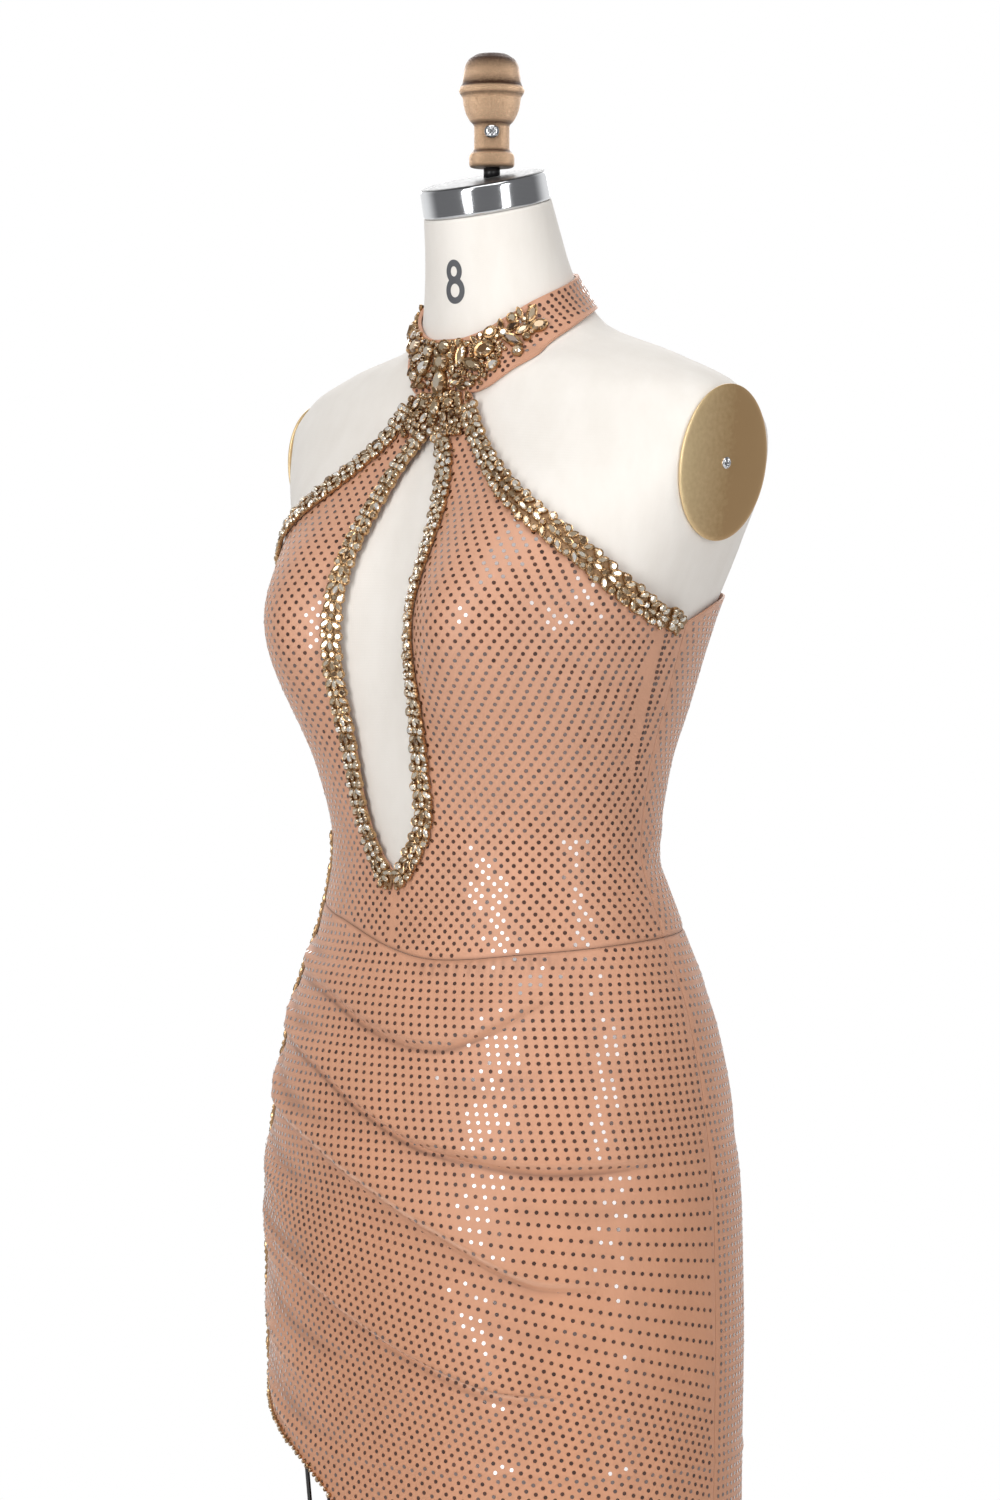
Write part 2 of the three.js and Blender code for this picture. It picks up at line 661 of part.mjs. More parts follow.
const backEdge = (height) => SIDE_SEAM + degreesPer(SIDE_SEAM, height) * (SEAM_GAP / 2);
const BACK_COLUMNS = 16;
const backRows = [-60, -36, 0, 28, 56, 80, 100, 120].map((height) => {
  const edge = backEdge(height);
  return row(edge, 360 - edge, BACK_COLUMNS, (angle) => bodiceHeight(height, angle));
});
[0.5, 1].forEach((share) => {
  const edge = backEdge(UNDERARM);
  backRows.push(row(edge, 360 - edge, BACK_COLUMNS, (angle) => lerp(120, backNeckline(angle), share)));
});
addMesh(dress, 'bodice_back', wall([backRows], EASE, OUTSIDE), spangledKnit());

// ---------------------------------------------------------------- collar

const COLLAR_AROUND = 36;
const nape = 180 - 0.2;
const collarRows = [0, 0.25, 0.5, 1].map((share) => row(-nape, nape, COLLAR_AROUND, (angle) => (
  lerp(collarLower(angle), collarUpper(angle), share)
)));
addMesh(dress, 'collar', wall([collarRows], COLLAR_EASE, COLLAR_EASE + COLLAR_CLOTH), spangledKnit());

const BUTTON = { radius: 5, rise: 4, angle: 174 };
[0.28, 0.74].forEach((share, i) => {
  const height = lerp(collarLower(BUTTON.angle), collarUpper(BUTTON.angle), share);
  const { out } = directions(BUTTON.angle, height);
  const profile = [[0, 0], [3.4, 0], [BUTTON.radius, 1.4], [3.8, 3.2], [0, BUTTON.rise]];
  const button = addMesh(dress, `nape_button_${i + 1}`, lathe(profile, 12), spangledKnit());
  button.quaternion.setFromUnitVectors(new THREE.Vector3(0, 0, 1), out);
  button.position.copy(skin(BUTTON.angle, height, COLLAR_EASE + COLLAR_CLOTH + SEAM_GAP));
});

// ---------------------------------------------------------------- skirt

const SKIRT_FRONT_COLUMNS = 24;
const SKIRT_BACK_COLUMNS = 18;
const SWAG_STEPS = [0, 0.2, 0.6];
const skirtSteps = steps(0, SWAGS.length, SWAGS.length).flatMap((line) => (
  SWAG_STEPS.map((step) => line + step)
));
const LOWER_HEIGHTS = [
  SLIT_TOP, -378, -390, -404, -420, -440, -480, -560, -680, -800, -930, HEM_HEIGHT,
];
const slitFront = curve(SLIT_FRONT, 'height', 'angle');
const slitBack = curve(SLIT_BACK, 'height', 'angle');
const gapDegrees = (angle, height) => degreesPer(angle, height) * (SEAM_GAP / 2);

function skirtPanel(edgeA, edgeB, count, upper, lower) {
  const rows = upper.map((step) => {
    const height = skirtHeight(step, SLIT_LINE);
    const seamDrop = step === 0 ? SEAM_GAP / 2 : 0;
    return row(edgeA(height), edgeB(height), count, (angle) => skirtHeight(step, angle) - seamDrop);
  });
  lower.forEach((height) => rows.push(row(edgeA(height), edgeB(height), count, () => height)));
  return wall([rows], EASE, OUTSIDE);
}

const frontEdge = (height) => {
  const angle = height < SLIT_TOP ? slitFront(height) : SLIT_LINE;
  return angle + gapDegrees(angle, height);
};
const backSlitEdge = (height) => {
  const angle = height < SLIT_TOP ? slitBack(height) : SLIT_LINE;
  return 360 + angle - gapDegrees(angle, height);
};
addMesh(dress, 'skirt_front', skirtPanel(
  frontEdge,
  (height) => SIDE_SEAM - gapDegrees(SIDE_SEAM, height),
  SKIRT_FRONT_COLUMNS,
  skirtSteps,
  LOWER_HEIGHTS,
), spangledKnit());

const BACK_STEPS = [0, 0.6, 1, 1.3, 1.6, 2, 2.5, 3, 3.5, 4, 4.2, 4.6];
addMesh(dress, 'skirt_back', skirtPanel(
  (height) => SIDE_SEAM + gapDegrees(SIDE_SEAM, height),
  backSlitEdge,
  SKIRT_BACK_COLUMNS,
  BACK_STEPS,
  LOWER_HEIGHTS,
), spangledKnit());

// ---------------------------------------------------------------- stone trims

const TRIM_LIFT = OUTSIDE + TRIM_SEAT;
const HALF_PITCH = STONE_PITCH / 2;

// Keyhole bands are sliced level, so the two meet in a mitre at the point.
function keyholeRows(side) {
  const count = Math.round((KEYHOLE_TOP - KEYHOLE[0].height) / HALF_PITCH);
  return steps(KEYHOLE_TOP, KEYHOLE[0].height + 1, count).map((height, i) => {
    const scallop = i % 2 === 1 ? -SCALLOP : SCALLOP;
    const inner = Math.max(keyholeOpening(height) + scallop, SEAM_GAP / 2);
    const outer = Math.max(keyholeTrim(height), inner + 2);
    return steps(0, 1, 4).map((share) => ({
      angle: side * angleAt(lerp(inner, outer, share), height),
      height,
    }));
  });
}
addMesh(dress, 'keyhole_trim_left', ribbon(keyholeRows(1), TRIM_LIFT, STONE_RISE), stonesInGold());
addMesh(dress, 'keyhole_trim_right', ribbon(keyholeRows(-1), TRIM_LIFT, STONE_RISE), stonesInGold());

// A band that runs along a line on the cloth, with its width laid square to the line.
function bandRows(line, shares, edgeAt) {
  return line.map((at, i) => {
    const before = line[Math.max(i - 1, 0)];
    const after = line[Math.min(i + 1, line.length - 1)];
    const along = skin(after.angle, after.height, 0).sub(skin(before.angle, before.height, 0));
    const { across, up, out } = directions(at.angle, at.height);
    const side = along.cross(out).normalize();
    const perAngle = side.dot(across) / across.lengthSq();
    const perHeight = side.dot(up) / up.lengthSq();
    return shares.map((share) => {
      const distance = edgeAt(share, i);
      return { angle: at.angle + distance * perAngle, height: at.height + distance * perHeight };
    });
  });
}

function spaced(line, pitch) {
  const points = line.map((at) => skin(at.angle, at.height, 0));
  const length = [0];
  points.slice(1).forEach((point, i) => length.push(length[i] + point.distanceTo(points[i])));
  const rows = line.map((at, i) => ({ ...at, length: length[i] }));
  const angle = curve(rows, 'length', 'angle');
  const height = curve(rows, 'length', 'height');
  const count = 2 * Math.round(length[length.length - 1] / pitch / 2);
  return steps(0, length[length.length - 1], count).map((at) => ({ angle: angle(at), height: height(at) }));
}

const ARM_TRIM_TOP = 294;
[1, -1].forEach((side) => {
  const line = steps(armholeAngle(ARM_TRIM_TOP), SIDE_SEAM - 1, 60).map((angle) => ({
    angle: side * angle,
    height: armholeHeight(angle),
  }));
  const rows = bandRows(spaced(line, HALF_PITCH), steps(0, 1, 4), (share, i) => {
    const free = i % 2 === 1 ? SCALLOP : -SCALLOP;
    return -side * lerp(free, -TRIM_WIDTH, share);
  });
  const hand = side > 0 ? 'left' : 'right';
  addMesh(dress, `armhole_trim_${hand}`, ribbon(rows, TRIM_LIFT, STONE_RISE), stonesInGold());
});

const STONE_COLLAR = { from: -112, to: 66, columns: 42, rise: 3 };
const collarStoneRows = steps(STONE_COLLAR.from, STONE_COLLAR.to, STONE_COLLAR.columns).map((angle, i) => {
  const low = collarLower(angle) + 3.5 + (i % 2 === 1 ? -1 : 1);
  const high = collarUpper(angle) - 1.5;
  return steps(0, 1, 4).map((share) => ({ angle, height: lerp(low, high, share) }));
});
const COLLAR_STONE_LIFT = COLLAR_EASE + COLLAR_CLOTH + COLLAR_SEAT;
const collarStones = ribbon(collarStoneRows, COLLAR_STONE_LIFT, STONE_COLLAR.rise, [0, 1, 2, 4]);
addMesh(dress, 'collar_stones', collarStones, stonesInGold());

const JOIN = { height: 287, halfWidth: 18, halfHeight: 13, rise: 5 };
const joinRows = steps(-1, 1, 8).map((down) => {
  const height = JOIN.height - down * JOIN.halfHeight;
  const reach = JOIN.halfWidth * Math.sqrt(1.12 - down * down);
  return steps(-1, 1, 4).map((share) => ({ angle: angleAt(share * reach, height), height }));
});
addMesh(dress, 'halter_join_stones', ribbon(joinRows, TRIM_LIFT, JOIN.rise), stonesInGold());

const SIDE_TRIM = { top: 5, width: 9, rise: 1.8 };
const sideLine = steps(SIDE_TRIM.top, SLIT_TOP - 2, 90).map((height) => ({ angle: SLIT_LINE, height }));
const sideRows = bandRows(spaced(sideLine, 11), steps(-1, 1, 2), (share) => share * SIDE_TRIM.width / 2);
addMesh(dress, 'side_trim', ribbon(sideRows, TRIM_LIFT, SIDE_TRIM.rise), stonesInGold());

export default object;
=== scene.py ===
"""A halter maxi dress of spangled stretch knit on its limbless dress form, in the order it is put together.

Sizes are in millimetres and degrees: angles go round from the centre front towards the wearer's left,
heights are above the waist. The dress faces -Y.
"""
import math

import bpy
import numpy as np
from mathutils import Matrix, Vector


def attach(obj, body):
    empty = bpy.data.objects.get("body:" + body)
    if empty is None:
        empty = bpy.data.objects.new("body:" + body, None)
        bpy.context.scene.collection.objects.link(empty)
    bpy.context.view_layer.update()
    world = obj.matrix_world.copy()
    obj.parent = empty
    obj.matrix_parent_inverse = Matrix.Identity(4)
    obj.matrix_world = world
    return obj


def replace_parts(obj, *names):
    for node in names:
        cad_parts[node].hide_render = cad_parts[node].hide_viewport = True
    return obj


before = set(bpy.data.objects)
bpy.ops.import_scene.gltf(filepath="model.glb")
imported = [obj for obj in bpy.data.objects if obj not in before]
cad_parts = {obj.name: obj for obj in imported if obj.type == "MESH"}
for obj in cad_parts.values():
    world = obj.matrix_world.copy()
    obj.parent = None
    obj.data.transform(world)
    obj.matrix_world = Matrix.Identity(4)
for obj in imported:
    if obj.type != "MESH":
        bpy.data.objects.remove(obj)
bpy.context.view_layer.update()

# ---------------------------------------------------------------- Torso
# The torso is a hard limbless shell, smooth all over, covered in off-white linen that is pulled
# tight and glued. Its girths are those of a size 8 figure, from level cross-sections.

MM = 0.001
WAIST_Z = 1080
FORM_BOTTOM = -400
NECK_TOP = 424
UNDERARM = 150
BUST = {
    "spread": 84, "height": 148, "projection": 44.5, "width": 52, "fullness": 2.2, "above": 70, "below": 72,
}
ARM = {"reach": 180, "height": 252, "lean": 0.14, "centre_y": 22, "half_width": 42, "half_height": 51}
SECTION_COLUMNS = ("half_width", "front", "back", "centre_y", "tilt", "squareness")
SECTIONS = {
    -1062: (184, 148, 166, 4, 0, 2.1),
    -800: (172, 134, 147, 4, 0, 2.15),
    -560: (167, 124, 135, 4, 0, 2.2),
    -400: (169, 124, 132, 4, 0, 2.2),
    -320: (170, 127, 133, 4, 0, 2.2),
    -240: (169, 130, 131, 4, 0, 2.2),
    -170: (162, 126, 128, 4, 0, 2.15),
    -110: (151, 115, 119, 3, 0, 2.1),
    -50: (129, 97, 100, 2, 0, 2.1),
    0: (115, 93, 89, 0, 0, 2.1),
    50: (121, 98.5, 96, 0, 0, 2.1),
    100: (134, 100.5, 112, 1, 0, 2.1),
    150: (149, 98, 123, 2, 0, 2.15),
    200: (170, 91, 130, 6, 0, 2.2),
    235: (188, 83.2, 125, 11, 0, 2.2),
    275: (202, 72, 112, 16, 0, 2),
    302: (182, 64, 97, 15, 3, 1.95),
    322: (137, 61, 78, 12, 8, 1.75),
    338: (79, 57, 62, 8, 14, 1.8),
    356: (58, 54, 55, 5, 19, 1.95),
    372: (51.5, 50, 50, 1, 19, 2),
    400: (46, 46, 46, -4, 16, 2),
    424: (43, 43, 43, -9, 13.5, 2),
}


def fair_line(points):
    """A smooth line through (x, y) pairs that never overshoots them."""
    x, y = np.array(points, float).T
    slope = np.diff(y) / np.diff(x)
    product = slope[:-1] * slope[1:]
    total = slope[:-1] + slope[1:]
    middle = np.where(product > 0, 2 * product / np.where(total == 0, 1, total), 0)
    tangent = np.concatenate([slope[:1], middle, slope[-1:]])

    def line(at):
        value = np.clip(np.asarray(at, float), x[0], x[-1])
        i = np.clip(np.searchsorted(x, value, side="right") - 1, 0, len(x) - 2)
        width = x[i + 1] - x[i]
        t = (value - x[i]) / width
        between = y[i] * (1 + 2 * t) * (1 - t) ** 2 + y[i + 1] * t * t * (3 - 2 * t)
        return between + width * t * (1 - t) * (tangent[i] * (1 - t) - tangent[i + 1] * t)

    return line


section = {
    column: fair_line([(height, row[k]) for height, row in SECTIONS.items()])
    for k, column in enumerate(SECTION_COLUMNS)
}


def figure(angle, height):
    """Points of the figure's skin."""
    angle, height = np.broadcast_arrays(np.asarray(angle, float), np.asarray(height, float))
    turn = np.radians(angle)
    round_off = 2 / section["squareness"](height)
    sine, cosine = np.sin(turn), np.cos(turn)
    bare_x = section["half_width"](height) * np.sign(sine) * np.abs(sine) ** round_off
    depth = np.where(cosine > 0, section["front"](height), section["back"](height))
    reach = -depth * np.sign(cosine) * np.abs(cosine) ** round_off
    rise = height - BUST["height"]
    level = np.exp(-((rise / np.where(rise > 0, BUST["above"], BUST["below"])) ** 2))
    aside = [np.abs(bare_x + side * BUST["spread"]) / BUST["width"] for side in (-1, 1)]
    cups = sum(np.exp(-(distance ** BUST["fullness"])) for distance in aside)
    reach = reach - np.where(cosine > 0, BUST["projection"] * level * cups, 0)
    arm_plane = np.where(height > UNDERARM, ARM["reach"] + ARM["lean"] * (height - ARM["height"]), np.inf)
    x = np.clip(bare_x, -arm_plane, arm_plane)
    tilt = np.radians(section["tilt"](height))
    y = section["centre_y"](height) + reach * np.cos(tilt)
    return np.stack([x, y, WAIST_Z + height + reach * np.sin(tilt)], -1)


def directions(angle, height):
    """Steps across (a degree) and up (a millimetre), and the outward normal."""
    angle, height = np.asarray(angle, float), np.asarray(height, float)
    across = (figure(angle + 0.4, height) - figure(angle - 0.4, height)) / 0.8
    up = (figure(angle, height + 0.8) - figure(angle, height - 0.8)) / 1.6
    out = np.cross(across, up)
    return across, up, out / np.linalg.norm(out, axis=-1, keepdims=True)


def put_in_scene(name, data):
    """An object made of a mesh, a lamp or a camera, in the scene."""
    made = bpy.data.objects.new(name, data)
    bpy.context.collection.objects.link(made)
    return made


def make_piece(name, points, faces, materials, face_material=None, smooth=True):
    """A mesh piece that stands still with the form, from points in millimetres."""
    mesh = bpy.data.meshes.new(name)
    mesh.from_pydata((np.asarray(points) * MM).tolist(), [], faces)
    mesh.polygons.foreach_set("use_smooth", [smooth] * len(mesh.polygons))
    for material in materials:
        mesh.materials.append(material)
    if face_material is not None:
        mesh.polygons.foreach_set("material_index", face_material)
    piece = put_in_scene(name, mesh)
    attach(piece, "root")
    return piece


def lay_grain(piece, across, along):
    """Stores the cloth's own grain, in metres, one pair of values a point."""
    layer = piece.data.uv_layers.new(name="grain")
    corners = np.zeros(len(piece.data.loops), int)
    piece.data.loops.foreach_get("vertex_index", corners)
    pairs = np.stack([np.asarray(across)[corners], np.asarray(along)[corners]], -1) * MM
    layer.data.foreach_set("uv", pairs.ravel())


def strips(rows, columns, closed=False):
    """Faces of a grid of points, rows going up and columns going round."""
    i, j = np.meshgrid(np.arange(rows - 1), np.arange(columns if closed else columns - 1), indexing="ij")
    right = (j + 1) % columns
    below, above = i * columns, (i + 1) * columns
    return np.stack([below + j, below + right, above + right, above + j], -1)


def closed_faces(rows, columns):
    """Faces of a tube of points, with a flat face over each end."""
    last = rows * columns
    ends = [list(range(columns))[::-1], list(range(last - columns, last))]
    return strips(rows, columns, closed=True).reshape(-1, 4).tolist() + ends


def start_material(name):
    """A named material with its shader, and a shorthand for adding and joining nodes."""
    material = bpy.data.materials.new(name)
    material.use_nodes = True
    nodes, links = material.node_tree.nodes, material.node_tree.links
    shader = nodes["Principled BSDF"]

    def node(kind, inputs=(), **settings):
        made = nodes.new(kind)
        for key, value in settings.items():
            setattr(made, key, value)
        for key, value in dict(inputs).items():
            if isinstance(value, bpy.types.NodeSocket):
                links.new(value, made.inputs[key])
            else:
                made.inputs[key].default_value = value
        return made

    def feed(socket, value):
        if isinstance(value, bpy.types.NodeSocket):
            links.new(value, shader.inputs[socket])
        else:
            shader.inputs[socket].default_value = value

    return material, node, feed


def ramp_through(node, factor, stops):
    """A colour that runs through (position, colour) stops as factor grows."""
    made = node("ShaderNodeValToRGB", {"Fac": factor})
    for k, (position, colour) in enumerate(stops):
        stop = made.color_ramp.elements[k] if k < 2 else made.color_ramp.elements.new(position)
        stop.position, stop.color = position, (*colour, 1)
    return made.outputs["Color"]


def ramp_between(node, factor, low, high, start=0.0, end=1.0):
    """A colour that runs from low to high as factor goes from start to end."""
    return ramp_through(node, factor, ((start, low), (end, high)))


def noise(node, scale, detail, roughness=0.5, place=None):
    """Cloudy patches, about scale of them in a metre."""
    inputs = {"Scale": scale, "Detail": detail, "Roughness": roughness}
    if place is not None:
        inputs["Vector"] = place
    return node("ShaderNodeTexNoise", inputs).outputs["Fac"]


def ripples(node, place, way, scale, distortion):
    """Parallel threads or stitches that run across the X or the Y of a place."""
    inputs = {"Vector": place, "Scale": scale, "Distortion": distortion, "Detail": 1.0}
    return node("ShaderNodeTexWave", inputs, bands_direction=way).outputs["Fac"]


def reckon(node, way, first, second):
    """The sum, the product or the larger of two values."""
    return node("ShaderNodeMath", {0: first, 1: second}, operation=way).outputs[0]


def raised(node, height, strength, distance):
    """A surface raised by height, up to distance in metres."""
    return node("ShaderNodeBump", {"Height": height, "Strength": strength, "Distance": distance}).outputs[0]


def linen():
    """Plain-woven off-white linen: threads half a millimetre apart, with faint handling marks."""
    material, node, feed = start_material("off_white_linen")
    grain = node("ShaderNodeUVMap", uv_map="grain").outputs["UV"]
    threads = [ripples(node, grain, way, 300.0, 0.6) for way in ("X", "Y")]
    weave = reckon(node, "MAXIMUM", *threads)
    marks = noise(node, 14.0, 5.0, 0.6)
    feed("Base Color", ramp_between(node, marks, (0.80, 0.755, 0.695), (0.85, 0.81, 0.755), 0.3, 0.7))
    feed("Roughness", 0.78)
    feed("Sheen Weight", 0.12)
    feed("Normal", raised(node, weave, 0.25, 0.00012))
    return material


TORSO_AROUND = 180
LINEN_MM_A_DEGREE = 2.2
TORSO_ROUNDING = [(-400, 5), (-399.2, 2.6), (-397.5, 0.9), (-395, 0)]
rounding_heights, rounding_insets = zip(*TORSO_ROUNDING)
torso_heights = np.array([*rounding_heights, *np.arange(-390, NECK_TOP, 4.0), NECK_TOP])
torso_insets = np.zeros(len(torso_heights))
torso_insets[:len(TORSO_ROUNDING)] = rounding_insets
torso_angles = np.arange(TORSO_AROUND) * 360 / TORSO_AROUND
angle_grid, height_grid = np.meshgrid(torso_angles, torso_heights)
inward = directions(angle_grid, height_grid)[2] * torso_insets[:, None, None]
torso_points = (figure(angle_grid, height_grid) - inward).reshape(-1, 3)
torso_faces = closed_faces(len(torso_heights), TORSO_AROUND)
torso = make_piece("torso", torso_points, torso_faces, [linen()])
lay_grain(torso, (angle_grid * LINEN_MM_A_DEGREE).ravel(), height_grid.ravel())
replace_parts(torso, "form_torso")

# ---------------------------------------------------------------- Size number
# The form's size is a plain grey 8, printed on the front of the neck.
# It is a film of ink, so it is laid on the linen with hardly any thickness.

SIZE_NUMBER = {"angle": 7.5, "height": 388, "stroke": 3.9, "lift": 0.12, "corners": 48}
LOOPS = ((5.7, 4.5, 4.9), (-5.3, 5.5, 5.9))  # middle, half width and half height of each loop


def printing_ink():
    """Flat dark grey ink, a little uneven where it sank into the weave."""
    material, node, feed = start_material("grey_ink")
    patches = noise(node, 900.0, 3.0)
    feed("Base Color", ramp_between(node, patches, (0.075, 0.077, 0.085), (0.12, 0.122, 0.13)))
    feed("Roughness", 0.6)
    return material


number_points, number_faces = [], []
for middle, half_width, half_height in LOOPS:
    around = np.linspace(0, 2 * np.pi, SIZE_NUMBER["corners"], endpoint=False)
    start = len(number_points) * SIZE_NUMBER["corners"]
    for edge in (-0.5, 0.5):
        sideways = (half_width + edge * SIZE_NUMBER["stroke"]) * np.cos(around)
        upward = middle + (half_height + edge * SIZE_NUMBER["stroke"]) * np.sin(around)
        across, _, out = directions(SIZE_NUMBER["angle"], SIZE_NUMBER["height"])
        angle = SIZE_NUMBER["angle"] + sideways / np.linalg.norm(across)
        height = SIZE_NUMBER["height"] + upward
        normal = directions(angle, height)[2]
        number_points.append(figure(angle, height) + normal * SIZE_NUMBER["lift"])
    ring = strips(2, SIZE_NUMBER["corners"], closed=True).reshape(-1, 4)
    number_faces += (ring + start).tolist()
make_piece("size_number", np.concatenate(number_points), number_faces, [printing_ink()])

# ---------------------------------------------------------------- Neck cap and finial
# A polished steel cap closes the tilted neck. A turned, hammered finial of antique gold stands
# upright on a black bolt, and a steel set screw in its neck faces the customer.

CAP = {"height": 20, "bottom": 43.2, "top": 42, "tilt": 13.5}
FINIAL = {"foot": 1532, "centre_y": -5, "neck": 11.8}
FINIAL_PROFILE = [
    (0, 0), (14, 0), (15.1, 1.5), (15.1, 8.5), (12.8, 10.4), (FINIAL["neck"], 12), (FINIAL["neck"], 28.4),
    (14.3, 30.4), (17.2, 35.5), (18.8, 41), (19.4, 46.5), (21.7, 49.8), (22, 52.2), (19.6, 55.5), (19.1, 60),
    (17.8, 68), (15.4, 72), (10, 75.4), (0, 76.4),
]
SET_SCREW = {"turn": 44, "height": 1555, "radius": 4.9, "rise": 2.4}
GAP = 0.3


def eased(profile, radius):
    """A profile with its corners rounded."""
    points = np.array(profile, float)
    result = [points[0]]
    for before, corner, after in zip(points, points[1:], points[2:]):
        a = corner + (before - corner) * min(0.45, radius / np.linalg.norm(before - corner))
        b = corner + (after - corner) * min(0.45, radius / np.linalg.norm(after - corner))
        result += [a * (1 - t) ** 2 + corner * 2 * t * (1 - t) + b * t * t for t in (0, 0.33, 0.67, 1)]
    return np.array(result + [points[-1]])


def turned(profile, radius, around=96):
    """Points and faces of a piece turned on a lathe, from (radius, height) pairs from axis to axis."""
    rings = eased(profile, radius)[1:-1]
    turn = np.arange(around) * 2 * np.pi / around
    points = np.stack([
        rings[:, :1] * np.cos(turn), rings[:, :1] * np.sin(turn), np.repeat(rings[:, 1:], around, 1),
    ], -1).reshape(-1, 3)
    return points, closed_faces(len(rings), around)


def facing(points, origin, axis):
    """Points turned so that their Z runs along axis, and moved to origin."""
    turn = Vector((0, 0, 1)).rotation_difference(Vector(axis)).to_matrix()
    return points @ np.array(turn).T + np.asarray(origin, float)


def polished_steel():
    """Bright steel with fine lines left round it by the polishing wheel."""
    material, node, feed = start_material("polished_steel")
    place = node("ShaderNodeTexCoord").outputs["Object"]
    stretched = node("ShaderNodeMapping", {"Vector": place, "Scale": (8, 8, 900)}).outputs[0]
    lines = noise(node, 3.0, 3.0, place=stretched)
    feed("Base Color", ramp_between(node, lines, (0.60, 0.61, 0.63), (0.70, 0.71, 0.72)))
    feed("Metallic", 1.0)
    feed("Roughness", ramp_between(node, lines, (0.07,) * 3, (0.17,) * 3))
    return material


def carried(node, value, start, end, low=0.0, high=1.0):
    """A value carried from between start and end to between low and high."""
    return node("ShaderNodeMapRange", {
        "Value": value, "From Min": start, "From Max": end, "To Min": low, "To Max": high,
    }).outputs["Result"]


# Gilding is dark with patina in the grooves and darker over the crown; the dark band under the flange is
# painted shade: (height above the foot, darkness).
PATINA_AND_SHADE = (
    (0, 0.6), (3, 0.1), (8, 0.08), (10.6, 0.95), (13, 0.18), (26, 0.12), (29, 0.85), (32, 0.18), (45, 0.06),
    (48.5, 0.7), (50.5, 0.0), (52.5, 0.1), (54.5, 1.1), (57.5, 0.6), (62, 0.22), (68, 0.62), (72, 1.0),
    (76.4, 1.15),
)


def hammered_gold():
    """Antique gold paint over cast metal: small hammered hollows, dark with patina in the grooves, darker
    over the crown, and painted shade under the flange.
    """
    material, node, feed = start_material("hammered_antique_gold")
    place = node("ShaderNodeTexCoord").outputs["Object"]
    height = node("ShaderNodeSeparateXYZ", {0: place}).outputs["Z"]
    top = FINIAL_PROFILE[-1][1]
    share = carried(node, height, FINIAL["foot"] * MM, (FINIAL["foot"] + top) * MM)
    rings = ramp_through(node, share, [(level / top, (wear,) * 3) for level, wear in PATINA_AND_SHADE])
    dents = node("ShaderNodeTexVoronoi", {"Scale": 230.0, "Smoothness": 0.8, "Randomness": 0.9},
                 feature="SMOOTH_F1").outputs["Distance"]
    patchy = carried(node, noise(node, 95.0, 6.0, 0.65), 0.3, 0.7, -0.3, 0.3)
    darkening = reckon(node, "ADD", rings, patchy)
    # the darkening is patina in the grooves, darker over the crown, and painted shade under the flange
    feed("Base Color", ramp_between(node, darkening, (1.0, 0.66, 0.41), (0.075, 0.03, 0.014), 0.1, 0.95))
    feed("Metallic", 0.48)
    feed("Roughness", ramp_between(node, darkening, (0.24,) * 3, (0.42,) * 3))
    feed("Normal", raised(node, dents, 0.8, 0.0012))
    return material


def black_iron():
    """Cast iron under satin black paint, with the slight orange peel of a sprayed coat."""
    material, node, feed = start_material("black_iron")
    peel = noise(node, 420.0, 3.0)
    scuffs = noise(node, 35.0, 8.0, 0.7)
    feed("Base Color", ramp_between(node, scuffs, (0.012, 0.012, 0.013), (0.035, 0.035, 0.037), 0.45, 0.75))
    feed("Roughness", ramp_between(node, scuffs, (0.32,) * 3, (0.5,) * 3, 0.4, 0.7))
    feed("Normal", raised(node, peel, 0.12, 0.0004))
    return material


steel, gold, iron = polished_steel(), hammered_gold(), black_iron()
cap_tilt = math.radians(CAP["tilt"])
neck_y = float(section["centre_y"](NECK_TOP))
cap_axis = (0, -math.sin(cap_tilt), math.cos(cap_tilt))
cap_base = np.array([0, neck_y, WAIST_Z + NECK_TOP + GAP / math.cos(cap_tilt)])
cap_profile = [
    (0, 0), (CAP["bottom"] - 1, 0), (CAP["bottom"], 1.5), (CAP["bottom"] - 0.4, CAP["height"] - 3),
    (CAP["top"], CAP["height"] - 0.8), (CAP["top"] - 2, CAP["height"]), (0, CAP["height"]),
]
cap_points, cap_faces = turned(cap_profile, 0.8, 160)
# The cap's rolled top edge is given black iron: a painted dark line in place of the dark reflection along
# that edge.
cap_painted_dark_edge = [int(min(cap_points[face, 2]) > CAP["height"] - 1.3) for face in cap_faces]
cap_points = facing(cap_points, cap_base, cap_axis)
cap = make_piece("neck_cap_band", cap_points, cap_faces, [steel, iron], cap_painted_dark_edge)
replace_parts(cap, "neck_cap")

BOLT_RADIUS = 5.5
BOLT_LENGTH = 20
bolt_profile = [(0, 0), (BOLT_RADIUS, 0), (BOLT_RADIUS, BOLT_LENGTH), (0, BOLT_LENGTH)]
bolt_points, bolt_faces = turned(bolt_profile, 0.3, 48)
bolt_points[:, 1] += FINIAL["centre_y"]
cap_top_y = neck_y - (CAP["height"] + GAP) * math.sin(cap_tilt)
cap_top_z = WAIST_Z + NECK_TOP + (CAP["height"] + GAP) * math.cos(cap_tilt)
bolt_seat = cap_top_z + (bolt_points[:, 1] - cap_top_y) * math.tan(cap_tilt) + GAP
bolt_points[:, 2] = np.where(bolt_points[:, 2] > BOLT_LENGTH / 2, FINIAL["foot"] - GAP, bolt_seat)
bolt = make_piece("bolt", bolt_points, bolt_faces, [iron])
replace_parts(bolt, "finial_bolt")

finial_points, finial_faces = turned(FINIAL_PROFILE, 1.6, 120)
finial_points += (0, FINIAL["centre_y"], FINIAL["foot"])
finial = make_piece("gilt_finial", finial_points, finial_faces, [gold])
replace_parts(finial, "finial")


